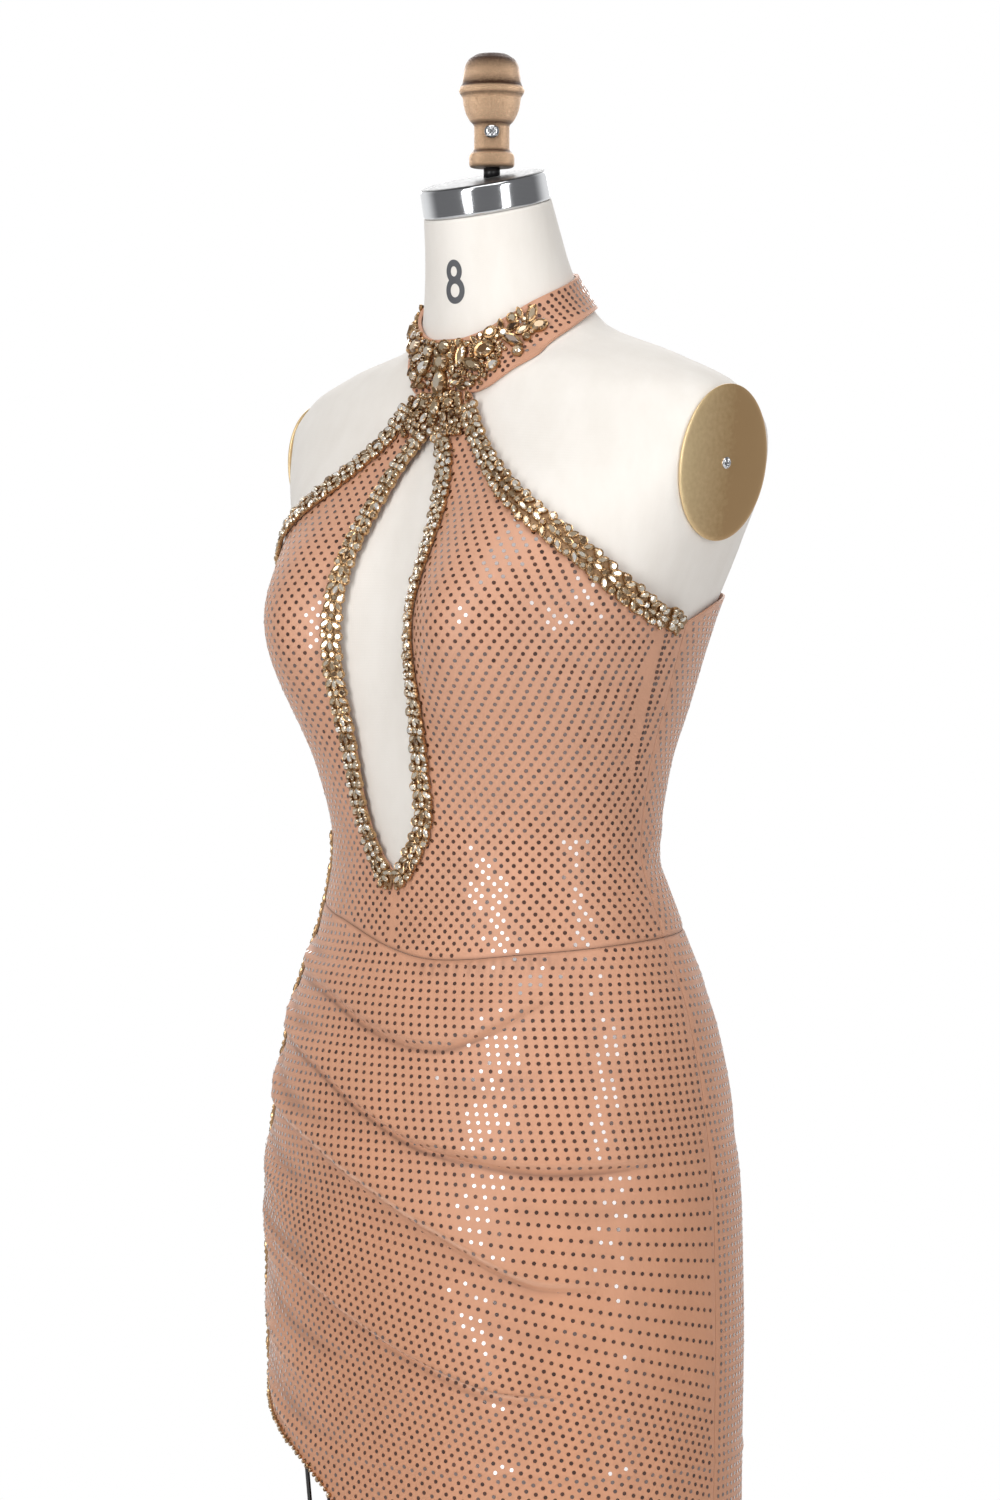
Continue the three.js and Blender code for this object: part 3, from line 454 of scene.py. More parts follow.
def screw_head(name, radius, rise, origin, axis, node_name):
    """A domed screw head with a crossed recess pressed into it."""
    dome = [
        (0, 0), (radius, 0), (radius, rise * 0.5), (radius * 0.7, rise), (radius * 0.3, rise * 1.1),
        (0, rise * 1.15),
    ]
    points, faces = turned(dome, 0.5, 64)
    distance = np.hypot(points[:, 0], points[:, 1])
    arm = np.minimum(np.abs(points[:, 0]), np.abs(points[:, 1]))
    recess = (arm < radius * 0.16) & (distance < radius * 0.66) & (points[:, 2] > rise * 0.6)
    points[recess, 2] -= rise * 0.4
    piece = make_piece(name, facing(points, origin, axis), faces, [steel])
    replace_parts(piece, node_name)


screw_turn = math.radians(SET_SCREW["turn"])
screw_axis = np.array([math.sin(screw_turn), -math.cos(screw_turn), 0])
screw_origin = screw_axis * (FINIAL["neck"] + GAP) + (0, FINIAL["centre_y"], SET_SCREW["height"])
screw_head("set_screw", SET_SCREW["radius"], SET_SCREW["rise"], screw_origin, screw_axis, "finial_screw")

# ---------------------------------------------------------------- Arm plates
# An oval plate of brushed antique brass closes each armhole of the form. It is pressed from
# sheet with a rolled edge, leans in at the bottom, and is held by one screw in the middle.

PLATE_PROFILE = [(0, 0), (0.98, 0), (1, 0.8), (1, 1.8), (0.95, 2.6), (0.8, 3.1), (0.45, 3.5), (0, 3.6)]
PLATE_SCREW = {"radius": 4, "rise": 2, "seat": 3.1}


def brushed_brass():
    """Champagne brass, brushed up and down, with patches of tarnish, and darker towards the back."""
    material, node, feed = start_material("brushed_antique_brass")
    place = node("ShaderNodeTexCoord").outputs["Object"]
    stretched = node("ShaderNodeMapping", {"Vector": place, "Scale": (40, 1100, 12)}).outputs[0]
    brushing = noise(node, 1.0, 4.0, place=stretched)
    tarnish = noise(node, 26.0, 4.0)
    backward = node("ShaderNodeSeparateXYZ", {0: place}).outputs["Y"]
    front, back = ARM["centre_y"] - ARM["half_width"], ARM["centre_y"] + ARM["half_width"]
    # the colour darkens towards the back of the plate
    share = carried(node, backward, front * MM, back * MM, -0.12, 0.88)
    patchy = reckon(node, "MULTIPLY", tarnish, 0.3)
    darkening = reckon(node, "ADD", share, patchy)
    feed("Base Color", ramp_between(node, darkening, (0.86, 0.66, 0.37), (0.52, 0.33, 0.155), 0.05, 0.6))
    feed("Metallic", 0.6)
    feed("Roughness", ramp_between(node, brushing, (0.30,) * 3, (0.42,) * 3))
    feed("Normal", raised(node, brushing, 0.15, 0.0001))
    return material


brass = brushed_brass()
plate_points, plate_faces = turned(PLATE_PROFILE, 0.25, 128)
for side, hand in ((1, "left"), (-1, "right")):
    out = np.array([side, 0, -ARM["lean"]]) / math.hypot(1, ARM["lean"])
    width_way = np.array([0, side, 0])
    length_way = np.cross(out, width_way)
    centre = np.array([side * ARM["reach"], ARM["centre_y"], WAIST_Z + ARM["height"]])
    plate = centre + plate_points[:, :1] * ARM["half_width"] * width_way
    plate = plate + plate_points[:, 1:2] * ARM["half_height"] * length_way
    plate = plate + (plate_points[:, 2:] + GAP) * out
    cover = make_piece(f"arm_cover_{hand}", plate, plate_faces, [brass])
    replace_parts(cover, f"arm_plate_{hand}")
    screw_head(
        f"plate_screw_{hand}", PLATE_SCREW["radius"], PLATE_SCREW["rise"],
        centre + out * (PLATE_SCREW["seat"] + 2 * GAP), out, f"arm_screw_{hand}",
    )

# ---------------------------------------------------------------- Pole, base and wire cage
# A black tube carries the form on a round cast-iron base. Ribs of black wire hang from the
# form's underside to a hoop, and hold the skirt off the pole.

POLE_RADIUS = 12.5
BASE_PROFILE = [
    (0, 0), (163, 0), (165, 2), (165, 5), (160, 8), (38, 11), (26, 16), (22, 40), (12.8, 40), (12.8, 13.7),
    (0, 13.7),
]
POLE_FOOT = 14
pole_top = WAIST_Z + FORM_BOTTOM - GAP
pole_profile = [(0, POLE_FOOT), (POLE_RADIUS, POLE_FOOT), (POLE_RADIUS, pole_top), (0, pole_top)]
pole_points, pole_faces = turned(pole_profile, 0.5, 64)
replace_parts(make_piece("upright", pole_points, pole_faces, [iron]), "pole")
base_points, base_faces = turned(BASE_PROFILE, 2.0, 160)
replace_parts(make_piece("stand_base", base_points, base_faces, [iron]), "base")
cage = bpy.data.objects["wire_cage"]
for slot in cage.material_slots:
    slot.material = iron

# ---------------------------------------------------------------- Cloth of the dress
# Peach two-way stretch knit. It clings to the form down to the hips and hangs as a column below,
# and swags fall from the trimmed line on the wearer's right. Every panel is a thin wall of it.

EASE = 2.1
CLOTH = 1.4
OUTSIDE = EASE + CLOTH
HEM = -1062
SIDE_SEAM = 98
SLIT_LINE = -60
SLIT_TOP = -368
FLUTES = {"count": 7, "depth": 7, "from": -480, "turn": 20}
WAIST_SEAM = fair_line([
    (-180, -50), (-120, -42), (-60, -40), (-26, -48), (16, -71), (45, -66), (98, -58), (180, -50),
])
# Depth, the angle where it has faded, its line of (angle, height), the painted shade of its tuck, the
# painted highlight on its lip.
SWAGS = (
    (4.5, 60, fair_line([(-60, -75), (-22, -91), (17, -121), (58, -84), (98, -80)]), 0.62, 0.15),
    (6.0, 86, fair_line([(-60, -112), (-19, -139), (18, -186), (50, -197), (98, -187)]), 0.62, 0.2),
    (6.0, 66, fair_line([(-60, -158), (-18, -187), (19, -238), (49, -271), (98, -272)]), 0.36, 0.5),
    (5.0, 56, fair_line([(-60, -228), (-13, -284), (13, -323), (36, -343), (98, -350)]), 0.26, 0.55),
)
CREASES = (  # from angle and height, to angle and height, depth, half width: troughs are negative
    (-56, -58, -14, -78, -1.8, 4.2), (-57, -66, -30, -80, 1.7, 2.9), (-57, -92, -8, -126, -2.2, 5.1),
    (-57, -101, -28, -118, 1.9, 2.9), (-57, -130, 2, -186, -2.4, 6), (-57, -143, -26, -166, 2, 3.6),
    (-57, -176, -6, -228, -2.3, 6), (-57, -196, -18, -236, 2.2, 4.3), (-57, -212, 6, -286, -2.2, 6.8),
    (-57, -246, -22, -292, 2.4, 4.3), (-57, -268, 8, -342, -2.4, 6.8), (-57, -300, -8, -356, 2.2, 5),
    (-56, -326, 2, -398, -2, 6.8), (-52, -352, -14, -398, 2, 4.3), (18, -150, 62, -132, -1.2, 9),
    (36, -228, 88, -214, -1.1, 10), (24, -296, 80, -312, -1, 11), (58, -104, 94, -96, 0.9, 7),
    (78, 8, 98, 4, 0.9, 3), (80, -4, 98, -7, -0.9, 3), (77, -15, 98, -18, 0.9, 3),
    (81, -26, 98, -30, -0.9, 3), (78, -38, 98, -41, 0.8, 3), (84, -50, 98, -52, -0.7, 3),
    (60, 128, 96, 104, -0.8, 9), (52, 84, 95, 66, 0.7, 8), (12, 2, 46, -34, -0.7, 7),
    (-12, 2, -44, -28, -0.7, 7), (102, -12, 150, -4, -0.9, 7),
    (104, 12, 148, 20, 0.8, 7), (212, -8, 256, -16, -0.9, 7), (214, 22, 254, 14, 0.8, 7),
    (110, -88, 168, -108, -1.1, 10), (296, -70, 232, -96, -1.5, 7), (297, -90, 240, -122, 2.2, 5),
    (297, -120, 226, -160, -2.2, 6.8), (297, -150, 238, -196, 2.2, 5.8), (297, -186, 222, -238, -2, 7.6),
    (297, -222, 236, -276, 2.2, 6.5), (297, -268, 226, -322, -2, 8.5), (110, -180, 176, -196, -0.9, 12),
)
TUCK = {"below": 8, "width": 2.8, "depth": 1.9, "lip": 3.2, "lip_width": 1.3}
SEAM_DIP = {"depth": 0.8, "at_sides": 0.25, "width": 1.8}
DEEPEST_CREASE = 0.9
FORM_EDGE = {"height": -397, "rise": 0.9, "width": 3.2}  # the form's lower edge shows through the cloth
GATHERS = {"from": 4, "to": 62, "pitch": 2.9, "depth": 0.8, "length": 17}


def ease_step(value, start, end):
    """Rises smoothly from 0 at start to 1 at end."""
    t = np.clip((value - start) / (end - start), 0, 1)
    return t * t * (3 - 2 * t)


def wrap(angle):
    """The same angle, from -180 to 180."""
    return (np.asarray(angle, float) + 180) % 360 - 180


def skirt_lines(angle):
    """Heights of the waist seam, the swags and the slit's top, at each angle."""
    turned_angle = wrap(angle)
    share = ((turned_angle - SIDE_SEAM) % 360) / (SLIT_LINE - SIDE_SEAM + 360)
    lines = [WAIST_SEAM(turned_angle)]
    for _, _, route, _, _ in SWAGS:
        behind = route(SIDE_SEAM) * (1 - share) + route(SLIT_LINE) * share
        lines.append(np.where(share <= 1, behind, route(turned_angle)))
    lines.append(np.full_like(turned_angle, SLIT_TOP))
    return np.stack(lines)


def skirt_height(step, angle):
    """The height of a row: whole steps lie on the lines, the others between them."""
    lines = skirt_lines(angle)
    i = min(int(step), len(lines) - 2)
    return lines[i] + (lines[i + 1] - lines[i]) * (step - i)


def swag_shape(distance):
    """A swag swells down to its line, rolls under it, and dips below before the next one starts."""
    above = ease_step(distance, -0.75, 0)
    below = 1.22 * (1 - ease_step(distance, 0, 0.13)) - 0.22 * (1 - ease_step(distance, 0.13, 0.5))
    return np.where(distance < 0, above, below)


def millimetres_round(height):
    """The length of one degree round the figure."""
    half_depth = (section["front"](height) + section["back"](height)) / 2
    return math.pi * (section["half_width"](height) + half_depth) / 360


def gathers(angle, height):
    """The small gathers under the front of the waist seam: their ripple, and how strong it is."""
    turned_angle = wrap(angle)
    below = WAIST_SEAM(turned_angle) - height
    uneven = 1.2 * np.sin(turned_angle * 0.5)
    ripple = 0.5 + 0.5 * np.cos(2 * np.pi * turned_angle / GATHERS["pitch"] + uneven)
    starts = ease_step(turned_angle, GATHERS["from"], GATHERS["from"] + 12)
    reach = starts * (1 - ease_step(turned_angle, GATHERS["to"] - 12, GATHERS["to"]))
    return ripple, reach * ease_step(below, 0, 3) * (1 - ease_step(below, 4, GATHERS["length"]))


def crease_rise(angle, height):
    """The listed creases, each a soft trough or ridge that fades at both ends."""
    rise = np.zeros(np.broadcast(angle, height).shape)
    scale = millimetres_round(height)
    turned_angle = np.asarray(angle, float) % 360
    for a0, h0, a1, h1, depth, width in CREASES:
        offset = wrap(turned_angle - a0) * scale
        length_a, length_h = (a1 - a0) * scale, h1 - h0
        length = np.sqrt(length_a ** 2 + length_h ** 2)
        along = (offset * length_a + (height - h0) * length_h) / length ** 2
        aside = (offset * length_h - (height - h0) * length_a) / length
        bow = aside - 0.06 * length * np.sin(np.pi * np.clip(along, 0, 1))
        ends = ease_step(along, -0.04, 0.12) * (1 - ease_step(along, 0.5, 1.05))
        rise += depth * ends * np.exp(-((bow / width) ** 2))
    ripple, strength = gathers(angle, height)
    rise += GATHERS["depth"] * ripple * strength
    rise += FORM_EDGE["rise"] * np.exp(-(((height - FORM_EDGE["height"]) / FORM_EDGE["width"]) ** 2))
    return rise


def seam_dip(angle, height):
    """Cloth is drawn in along the waist seam, the side seams and the trimmed line."""
    turned_angle = wrap(angle)
    from_waist = height - WAIST_SEAM(turned_angle)
    right_seam = np.where(from_waist > 0, -SIDE_SEAM, np.where(height > SLIT_TOP, SLIT_LINE, SIDE_SEAM))
    turn_to_seam = np.minimum(np.abs(turned_angle - SIDE_SEAM), np.abs(turned_angle - right_seam))
    turn_to_seam = np.where(height > UNDERARM, 180, turn_to_seam)
    nearest = np.minimum(np.abs(from_waist), turn_to_seam * millimetres_round(height))
    depth = np.where(nearest < np.abs(from_waist), SEAM_DIP["at_sides"], SEAM_DIP["depth"])
    return depth * np.exp(-((nearest / SEAM_DIP["width"]) ** 2))


def swags_and_tucks(angle, height):
    """How far the swags stand out, how deep the tucks under them are, and the painted shade and painted
    highlight on both.
    """
    turned_angle = wrap(angle)
    lines = skirt_lines(turned_angle)
    step = np.full(height.shape, -1.0)
    for i in range(len(lines) - 1):
        inside = (height < lines[i]) & (height >= lines[i + 1])
        step = np.where(inside, i + (lines[i] - height) / (lines[i] - lines[i + 1]), step)
    start = ease_step(turned_angle, SLIT_LINE + 4, SLIT_LINE + 22)
    swags, tucks, shade = 0.0, 0.0, 0.0
    for k, (depth, fades, _, dark, light) in enumerate(SWAGS):
        reach = np.where(step >= 0, start * (1 - ease_step(turned_angle, fades - 30, fades)), 0)
        below = (lines[k + 1] - height - TUCK["below"]) / TUCK["width"]
        swags = swags + reach * depth * swag_shape(step - (k + 1))
        tucks = tucks + reach * np.exp(-(below ** 2))
        lip = (lines[k + 1] - height - TUCK["lip"]) / TUCK["lip_width"]
        # painted shade under each swag's tuck, painted highlight on its lip
        shade = shade + reach * (dark * np.exp(-4 * below ** 2) - light * np.exp(-(lip ** 2)))
    return swags, tucks, shade


def fold_rise(angle, height):
    """How far the cloth stands off the figure because of its folds."""
    angle, height = np.broadcast_arrays(np.asarray(angle, float), np.asarray(height, float))
    flute = ease_step(-height, -FLUTES["from"], -HEM) * FLUTES["depth"]
    flute = flute * (1 + np.cos(np.radians(wrap(angle) * FLUTES["count"] + FLUTES["turn"])))
    swags, tucks, _ = swags_and_tucks(angle, height)
    return flute + swags - TUCK["depth"] * tucks


def shade_share(angle, height):
    """The painted shade of the narrow hollows, the waist seam and the gathers, and (below 0) the painted
    highlight on the lips and ridges that stand out.
    """
    rise = crease_rise(angle, height)
    seam = np.exp(-(((height - WAIST_SEAM(wrap(angle))) / 1.1) ** 2))
    ripple, strength = gathers(angle, height)
    # painted shade along the waist seam, in the crease troughs and between the gathers; painted highlight on
    # the crease ridges
    dark = 0.55 * seam + 0.25 * np.clip(-rise - 0.6, 0, 1.4) + 0.38 * (1 - ripple) * strength
    return np.clip(swags_and_tucks(angle, height)[2] + dark - 0.3 * np.clip(rise - 1, 0, 1.2), -0.6, 0.8)


def skin(angle, height, lift):
    """Points on the cloth, lift millimetres out from the figure and its folds."""
    out = directions(angle, height)[2]
    rise = fold_rise(angle, height) + crease_rise(angle, height) - seam_dip(angle, height)
    return figure(angle, height) + out * (lift + np.maximum(rise, -DEEPEST_CREASE))[..., None]


def cloth_wall(name, blocks, inner, outer, materials):
    """A wall of cloth from blocks of (angles, heights); points that blocks share are joined."""
    spots = np.concatenate([np.stack([a.ravel(), h.ravel()], -1) for a, h in blocks])
    _, first, joined = np.unique(spots.round(3), axis=0, return_index=True, return_inverse=True)
    joined = joined.ravel()
    angle, height = spots[first].T
    quads, start = [], 0
    for a, _ in blocks:
        quads.append(joined[strips(*a.shape).reshape(-1, 4) + start])
        start += a.size
    quads = np.concatenate(quads)
    count = len(angle)
    edges = np.concatenate([quads[:, [k, (k + 1) % 4]] for k in range(4)])
    codes, back = edges[:, 0] * count + edges[:, 1], edges[:, 1] * count + edges[:, 0]
    rim = edges[~np.isin(codes, back)]
    points = np.concatenate([skin(angle, height, outer), skin(angle, height, inner)])
    side = np.stack([rim[:, 0], rim[:, 0] + count, rim[:, 1] + count, rim[:, 1]], -1)
    faces = np.concatenate([quads, quads[:, ::-1] + count, side]).tolist()
    piece = make_piece(name, points, faces, materials)
    piece.data.set_sharp_from_angle(angle=math.radians(50))
    grain = wrap(angle) * millimetres_round(height)
    lay_grain(piece, np.tile(grain, 2), np.tile(height, 2))
    # each point's painted shade (above 0) and painted highlight (below 0)
    shade = piece.data.attributes.new("shade", "FLOAT", "POINT")
    shade.data.foreach_set("value", np.tile(shade_share(angle, height), 2).astype(np.float32))
    return piece


WARMING_FROM, WARMING_TO = -330, 120


def peach_knit():
    """Fine stretch knit in wales 0.7 mm wide: a satin sheen, warmer towards the hem, painted shade in the
    hollows and painted highlight on the ridges.
    """
    material, node, feed = start_material("peach_stretch_knit")
    grain = node("ShaderNodeUVMap", uv_map="grain").outputs["UV"]
    wales = ripples(node, grain, "X", 230.0, 1.5)
    stitches = ripples(node, grain, "Y", 310.0, 2.5)
    stitched = reckon(node, "MULTIPLY", wales, stitches)
    cloudy = ramp_between(node, noise(node, 9.0, 4.0), (0.95,) * 3, (1.04,) * 3, 0.3, 0.7)
    level = node("ShaderNodeSeparateXYZ", {0: node("ShaderNodeTexCoord").outputs["Object"]}).outputs["Z"]
    # the knit's tone is darker and warmer towards the hem
    upward = carried(node, level, (WAIST_Z + WARMING_FROM) * MM, (WAIST_Z + WARMING_TO) * MM)
    hem_warm_tone = ramp_between(node, upward, (0.605, 0.292, 0.167), (0.62, 0.326, 0.207))
    tone = node("ShaderNodeMix", {
        "Factor": 1.0, 6: hem_warm_tone, 7: cloudy,
    }, data_type="RGBA", blend_type="MULTIPLY").outputs[2]
    shade = node("ShaderNodeAttribute", attribute_name="shade").outputs["Fac"]
    dark = reckon(node, "MAXIMUM", shade, 0.0)
    light = node("ShaderNodeMath", {0: shade, 1: -1.0}, operation="MULTIPLY", use_clamp=True).outputs[0]
    # painted shade darkens the hollows, painted highlight lightens the lips and ridges
    for share, tint in ((dark, (0.17, 0.075, 0.045, 1)), (light, (0.90, 0.60, 0.44, 1))):
        tone = node("ShaderNodeMix", {"Factor": share, 6: tone, 7: tint}, data_type="RGBA").outputs[2]
    feed("Base Color", tone)
    feed("Roughness", 0.52)
    feed("Sheen Weight", 0.22)
    feed("Sheen Roughness", 0.35)
    feed("Sheen Tint", (1.0, 0.82, 0.74, 1))
    feed("Normal", raised(node, stitched, 0.35, 0.00018))
    return material


knit = peach_knit()

# ---------------------------------------------------------------- Spangles
# Flat round foil spangles, 2.8 mm across, are heat-set on the knit in an even net. They mirror
# the lamps where they face them and look dark brown elsewhere; each lies at its own slight tilt.

SPANGLE = {"radius": 1.38, "corners": 8, "lift": 0.22, "tilt": 2.2}
draw = np.random.default_rng(8)


def foil():
    """Dark bronze foil under clear lacquer, with a rainbow film that shifts from disc to disc."""
    material, node, feed = start_material("spangle_foil")
    chance = node("ShaderNodeNewGeometry").outputs["Random Per Island"]
    feed("Base Color", ramp_between(node, chance, (0.05, 0.016, 0.006), (0.11, 0.04, 0.019)))
    feed("Metallic", 0.0)
    feed("Roughness", 0.22)
    feed("IOR", 1.5)
    feed("Coat Weight", 1.0)
    feed("Coat Roughness", 0.04)
    feed("Coat IOR", 2.1)
    feed("Coat Tint", (1.0, 0.95, 0.93, 1))
    return material


spangle_foil = foil()


def set_spangles(name, angle, height, outer):
    """Discs laid on the cloth at each angle and height, all one piece."""
    centre = skin(angle, height, outer + SPANGLE["lift"])
    sideways = skin(angle + 0.3, height, outer) - skin(angle - 0.3, height, outer)
    above = skin(angle, height + 0.8, outer) - skin(angle, height - 0.8, outer)
    out = np.cross(sideways, above)
    lean = np.tan(np.radians(SPANGLE["tilt"])) * draw.normal(size=(len(centre), 2))
    across = sideways / np.linalg.norm(sideways, axis=1, keepdims=True)
    out = out / np.linalg.norm(out, axis=1, keepdims=True)
    up = np.cross(out, across)
    out = out + across * lean[:, :1] + up * lean[:, 1:]
    out /= np.linalg.norm(out, axis=1, keepdims=True)
    across = across - out * (across * out).sum(1, keepdims=True)
    across /= np.linalg.norm(across, axis=1, keepdims=True)
    up = np.cross(out, across)
    turn = np.arange(SPANGLE["corners"]) * 2 * np.pi / SPANGLE["corners"]
    ring = np.cos(turn)[None, :, None] * across[:, None] + np.sin(turn)[None, :, None] * up[:, None]
    points = (centre[:, None] + ring * SPANGLE["radius"]).reshape(-1, 3)
    faces = np.arange(len(points)).reshape(-1, SPANGLE["corners"]).tolist()
    return make_piece(name, points, faces, [spangle_foil], smooth=False)


SAG_REACH = (-220, 330)


def net_of_spangles(heights, pitch, stagger, sag, shift, inside, middle=0):
    """Angles and heights of a net, counted from the panel's middle in rows that sag to the left."""
    found = []
    fine = np.linspace(-180, 540, 1441)
    zero = np.searchsorted(fine, middle)
    for k, start in enumerate(heights):
        drop = sag(start)
        line = np.full_like(fine, start)
        for _ in range(2):
            steps = np.linalg.norm(np.diff(figure(fine, line), axis=0), axis=1)
            length = np.concatenate([[0], np.cumsum(steps)])
            length -= length[zero]
            line = start - drop * np.clip(length, *SAG_REACH)
        offset = (pitch / 2 if stagger and k % 2 else 0) + shift(start)
        numbers = np.arange(math.ceil(length[0] / pitch), math.floor(length[-1] / pitch))
        angle = np.interp(numbers * pitch + offset, length, fine)
        height = np.interp(angle, fine, line)
        keep = inside(angle, height)
        found.append(np.stack([angle[keep], height[keep]], -1))
    return np.concatenate(found).T


# ---------------------------------------------------------------- Bodice
# The front is one piece with a keyhole cut in it; its straps meet at the centre above the
# keyhole. The back is one piece with a shallow curved neckline. Side seams join the two.

KEYHOLE_BOTTOM = -14
KEYHOLE_TOP = 272
STRAP_TOP = 304
CLOTH_SET_BACK = 4
BENDS_FROM = -60
BACK_LEVEL_TO = 120
KEYHOLE = (  # height, half width of the opening, half width to the trim's outer edge
    (-29, 0, 0.6), (-26, 0, 9), (-20, 0, 16), (-12, 0, 21.5), (-5, 6.5, 25), (3, 12, 29),
    (14, 17.5, 33.5), (29, 21.5, 37), (50, 23, 38.5), (79, 26, 41.5), (110, 29.5, 45), (150, 31, 46.5),
    (180, 30.5, 46), (205, 28, 43.5), (225, 23, 38), (250, 14, 29), (272, 1, 15),
)
ARMHOLE = ((150, 98), (155, 95), (164, 86), (177, 73), (190, 62), (205, 50), (219, 39), (232, 30),
           (243, 23.5), (257, 17.5), (277, 12.5), (304, 9.5))
keyhole_opening = fair_line([(h, opening) for h, opening, _ in KEYHOLE])
keyhole_trim = fair_line([(h, trim) for h, _, trim in KEYHOLE])
armhole_angle = fair_line(ARMHOLE)
armhole_height = fair_line([(angle, height) for height, angle in ARMHOLE[::-1]])
back_neckline = fair_line([
    (98, 150), (115, 163), (140, 170), (180, 173), (220, 170), (245, 163), (262, 150),
])
COLLAR = (  # angle, lower edge, upper edge
    (-180, 343, 365), (-110, 347, 368.8), (-90, 346.6, 368.5), (-69, 345, 367), (-50, 342, 362.8),
    (-37, 338, 359), (-24.5, 330.2, 355.2), (-18.5, 323.5, 354), (-14.5, 316.5, 353.3), (-11.5, 310, 353),
    (-9, 304, 353), (9, 303, 353), (13, 306.5, 353), (19, 313.5, 354), (30, 324, 356.5),
    (47, 332.5, 362), (69, 341.3, 367), (90, 345.3, 368.5), (110, 346.8, 368.8), (180, 343, 365),
)
collar_lower = fair_line([(angle, lower) for angle, lower, _ in COLLAR])
collar_upper = fair_line([(angle, upper) for angle, _, upper in COLLAR])


def angle_at(x, height):
    """The angle at which the front of a section has the given x."""
    share = np.minimum(np.abs(x) / section["half_width"](height), 1)
    return np.sign(x) * np.degrees(np.arcsin(share ** (section["squareness"](height) / 2)))


def degrees_per_mm(angle, height):
    """How many degrees one millimetre round the figure takes."""
    return 1 / np.linalg.norm(directions(angle, height)[0], axis=-1)


def crowded(start, end, count, near=(0.7, 1.6, 2.8, 4.5)):
    """Even steps from start to end, with a few extra ones close to both ends."""
    way = math.copysign(1, end - start)
    extra = [start + way * n for n in near] + [end - way * n for n in near]
    return np.array(sorted({*np.linspace(start, end, count), *extra}, key=lambda value: value * way))


def bodice_height(height, angle):
    """Rows near the waist seam bend to follow it, and the last row meets the collar."""
    if height == STRAP_TOP:
        return collar_lower(angle) - GAP
    share = 1 - ease_step(height, BENDS_FROM, 0)
    return height + share * (WAIST_SEAM(wrap(angle)) + GAP / 2 - BENDS_FROM)


def bodice_half_row(height):
    """Angles of one row of the front, from the keyhole or the middle out to the side seam or armhole."""
    inner = 0.0
    if height > KEYHOLE_BOTTOM:
        is_open = height < KEYHOLE_TOP
        inner = float(angle_at(keyhole_opening(height) + CLOTH_SET_BACK if is_open else GAP / 2, height))
    low = height <= UNDERARM
    edge = SIDE_SEAM if low else float(armhole_angle(height))
    outer = edge - float(degrees_per_mm(edge, height)) * (GAP / 2 if low else CLOTH_SET_BACK)
    share = np.concatenate([np.linspace(0, 1, 58)[:-1], [0.992, 1]]) ** 1.15
    return inner + (outer - inner) * share


low_heights = crowded(BENDS_FROM, KEYHOLE_BOTTOM, 17, (0.7, 1.6, 2.8))
high_heights = np.concatenate([np.arange(KEYHOLE_BOTTOM, STRAP_TOP, 2.6), [STRAP_TOP]])
low_half = np.array([bodice_half_row(h) for h in low_heights])
high_half = np.array([bodice_half_row(h) for h in high_heights])


def with_heights(angles, heights):
    """Rows of angles together with the height of each of their points."""
    return angles, np.array([bodice_height(h, row) + 0 * row for h, row in zip(heights, angles)])


bodice_front = cloth_wall("front_bodice", [
    with_heights(np.concatenate([-low_half[:, :0:-1], low_half], 1), low_heights),
    with_heights(high_half, high_heights),
    with_heights(-high_half[:, ::-1], high_heights),
], EASE, OUTSIDE, [knit])
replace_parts(bodice_front, "bodice_front")

back_edge = SIDE_SEAM + float(degrees_per_mm(SIDE_SEAM, 60)) * GAP / 2
back_columns = crowded(back_edge, 360 - back_edge, 90, (0.3, 0.7, 1.2))
back_heights = crowded(BENDS_FROM, BACK_LEVEL_TO, 60, (0.7, 1.6, 2.8))
back_rise = back_neckline(back_columns) - BACK_LEVEL_TO
back_top = BACK_LEVEL_TO + back_rise * np.linspace(0, 1, 20)[1:, None]
back_angles, back_levels = with_heights(np.tile(back_columns, (len(back_heights), 1)), back_heights)
bodice_back = cloth_wall("back_bodice", [(
    np.concatenate([back_angles, np.tile(back_columns, (len(back_top), 1))]),
    np.concatenate([back_levels, back_top]),
)], EASE, OUTSIDE, [knit])
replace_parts(bodice_back, "bodice_back")

BODICE_NET = {"row": 3.95, "pitch": 7.9}
NET_MARGIN = 2.2
CLEAR_OF_TRIM = {"armhole": 9, "keyhole": -2, "keyhole_foot": -26, "collar": 4}


def no_sag(start):
    """Rows that lie level and neither sag nor lean."""
    return 0.0


def inside_front(angle, height):
    """Where the front may carry spangles: clear of its edges and of what the trims cover."""
    x = np.abs(figure(angle, height)[:, 0])
    edge = np.where(height <= UNDERARM, SIDE_SEAM, armhole_angle(height))
    set_back = np.where(height <= UNDERARM, NET_MARGIN, CLEAR_OF_TRIM["armhole"])
    edge = edge - set_back * degrees_per_mm(edge, height)
    beside_keyhole = (height > CLEAR_OF_TRIM["keyhole_foot"]) & (height < KEYHOLE_TOP)
    clear = np.where(beside_keyhole, np.maximum(keyhole_trim(height) + CLEAR_OF_TRIM["keyhole"], 0), 0)
    low = WAIST_SEAM(wrap(angle)) + NET_MARGIN
    below_collar = height < collar_lower(angle) - CLEAR_OF_TRIM["collar"]
    return (np.abs(angle) < edge) & (x > clear) & (height > low) & below_collar


def inside_back(angle, height):
    """Where the back may carry spangles: clear of its edges."""
    edge = NET_MARGIN * degrees_per_mm(SIDE_SEAM, height)
    top = back_neckline(angle) - NET_MARGIN - 1
    low = WAIST_SEAM(wrap(angle)) + NET_MARGIN
    within = (angle > SIDE_SEAM + edge) & (angle < 360 - SIDE_SEAM - edge)
    return within & (height > low) & (height < top)


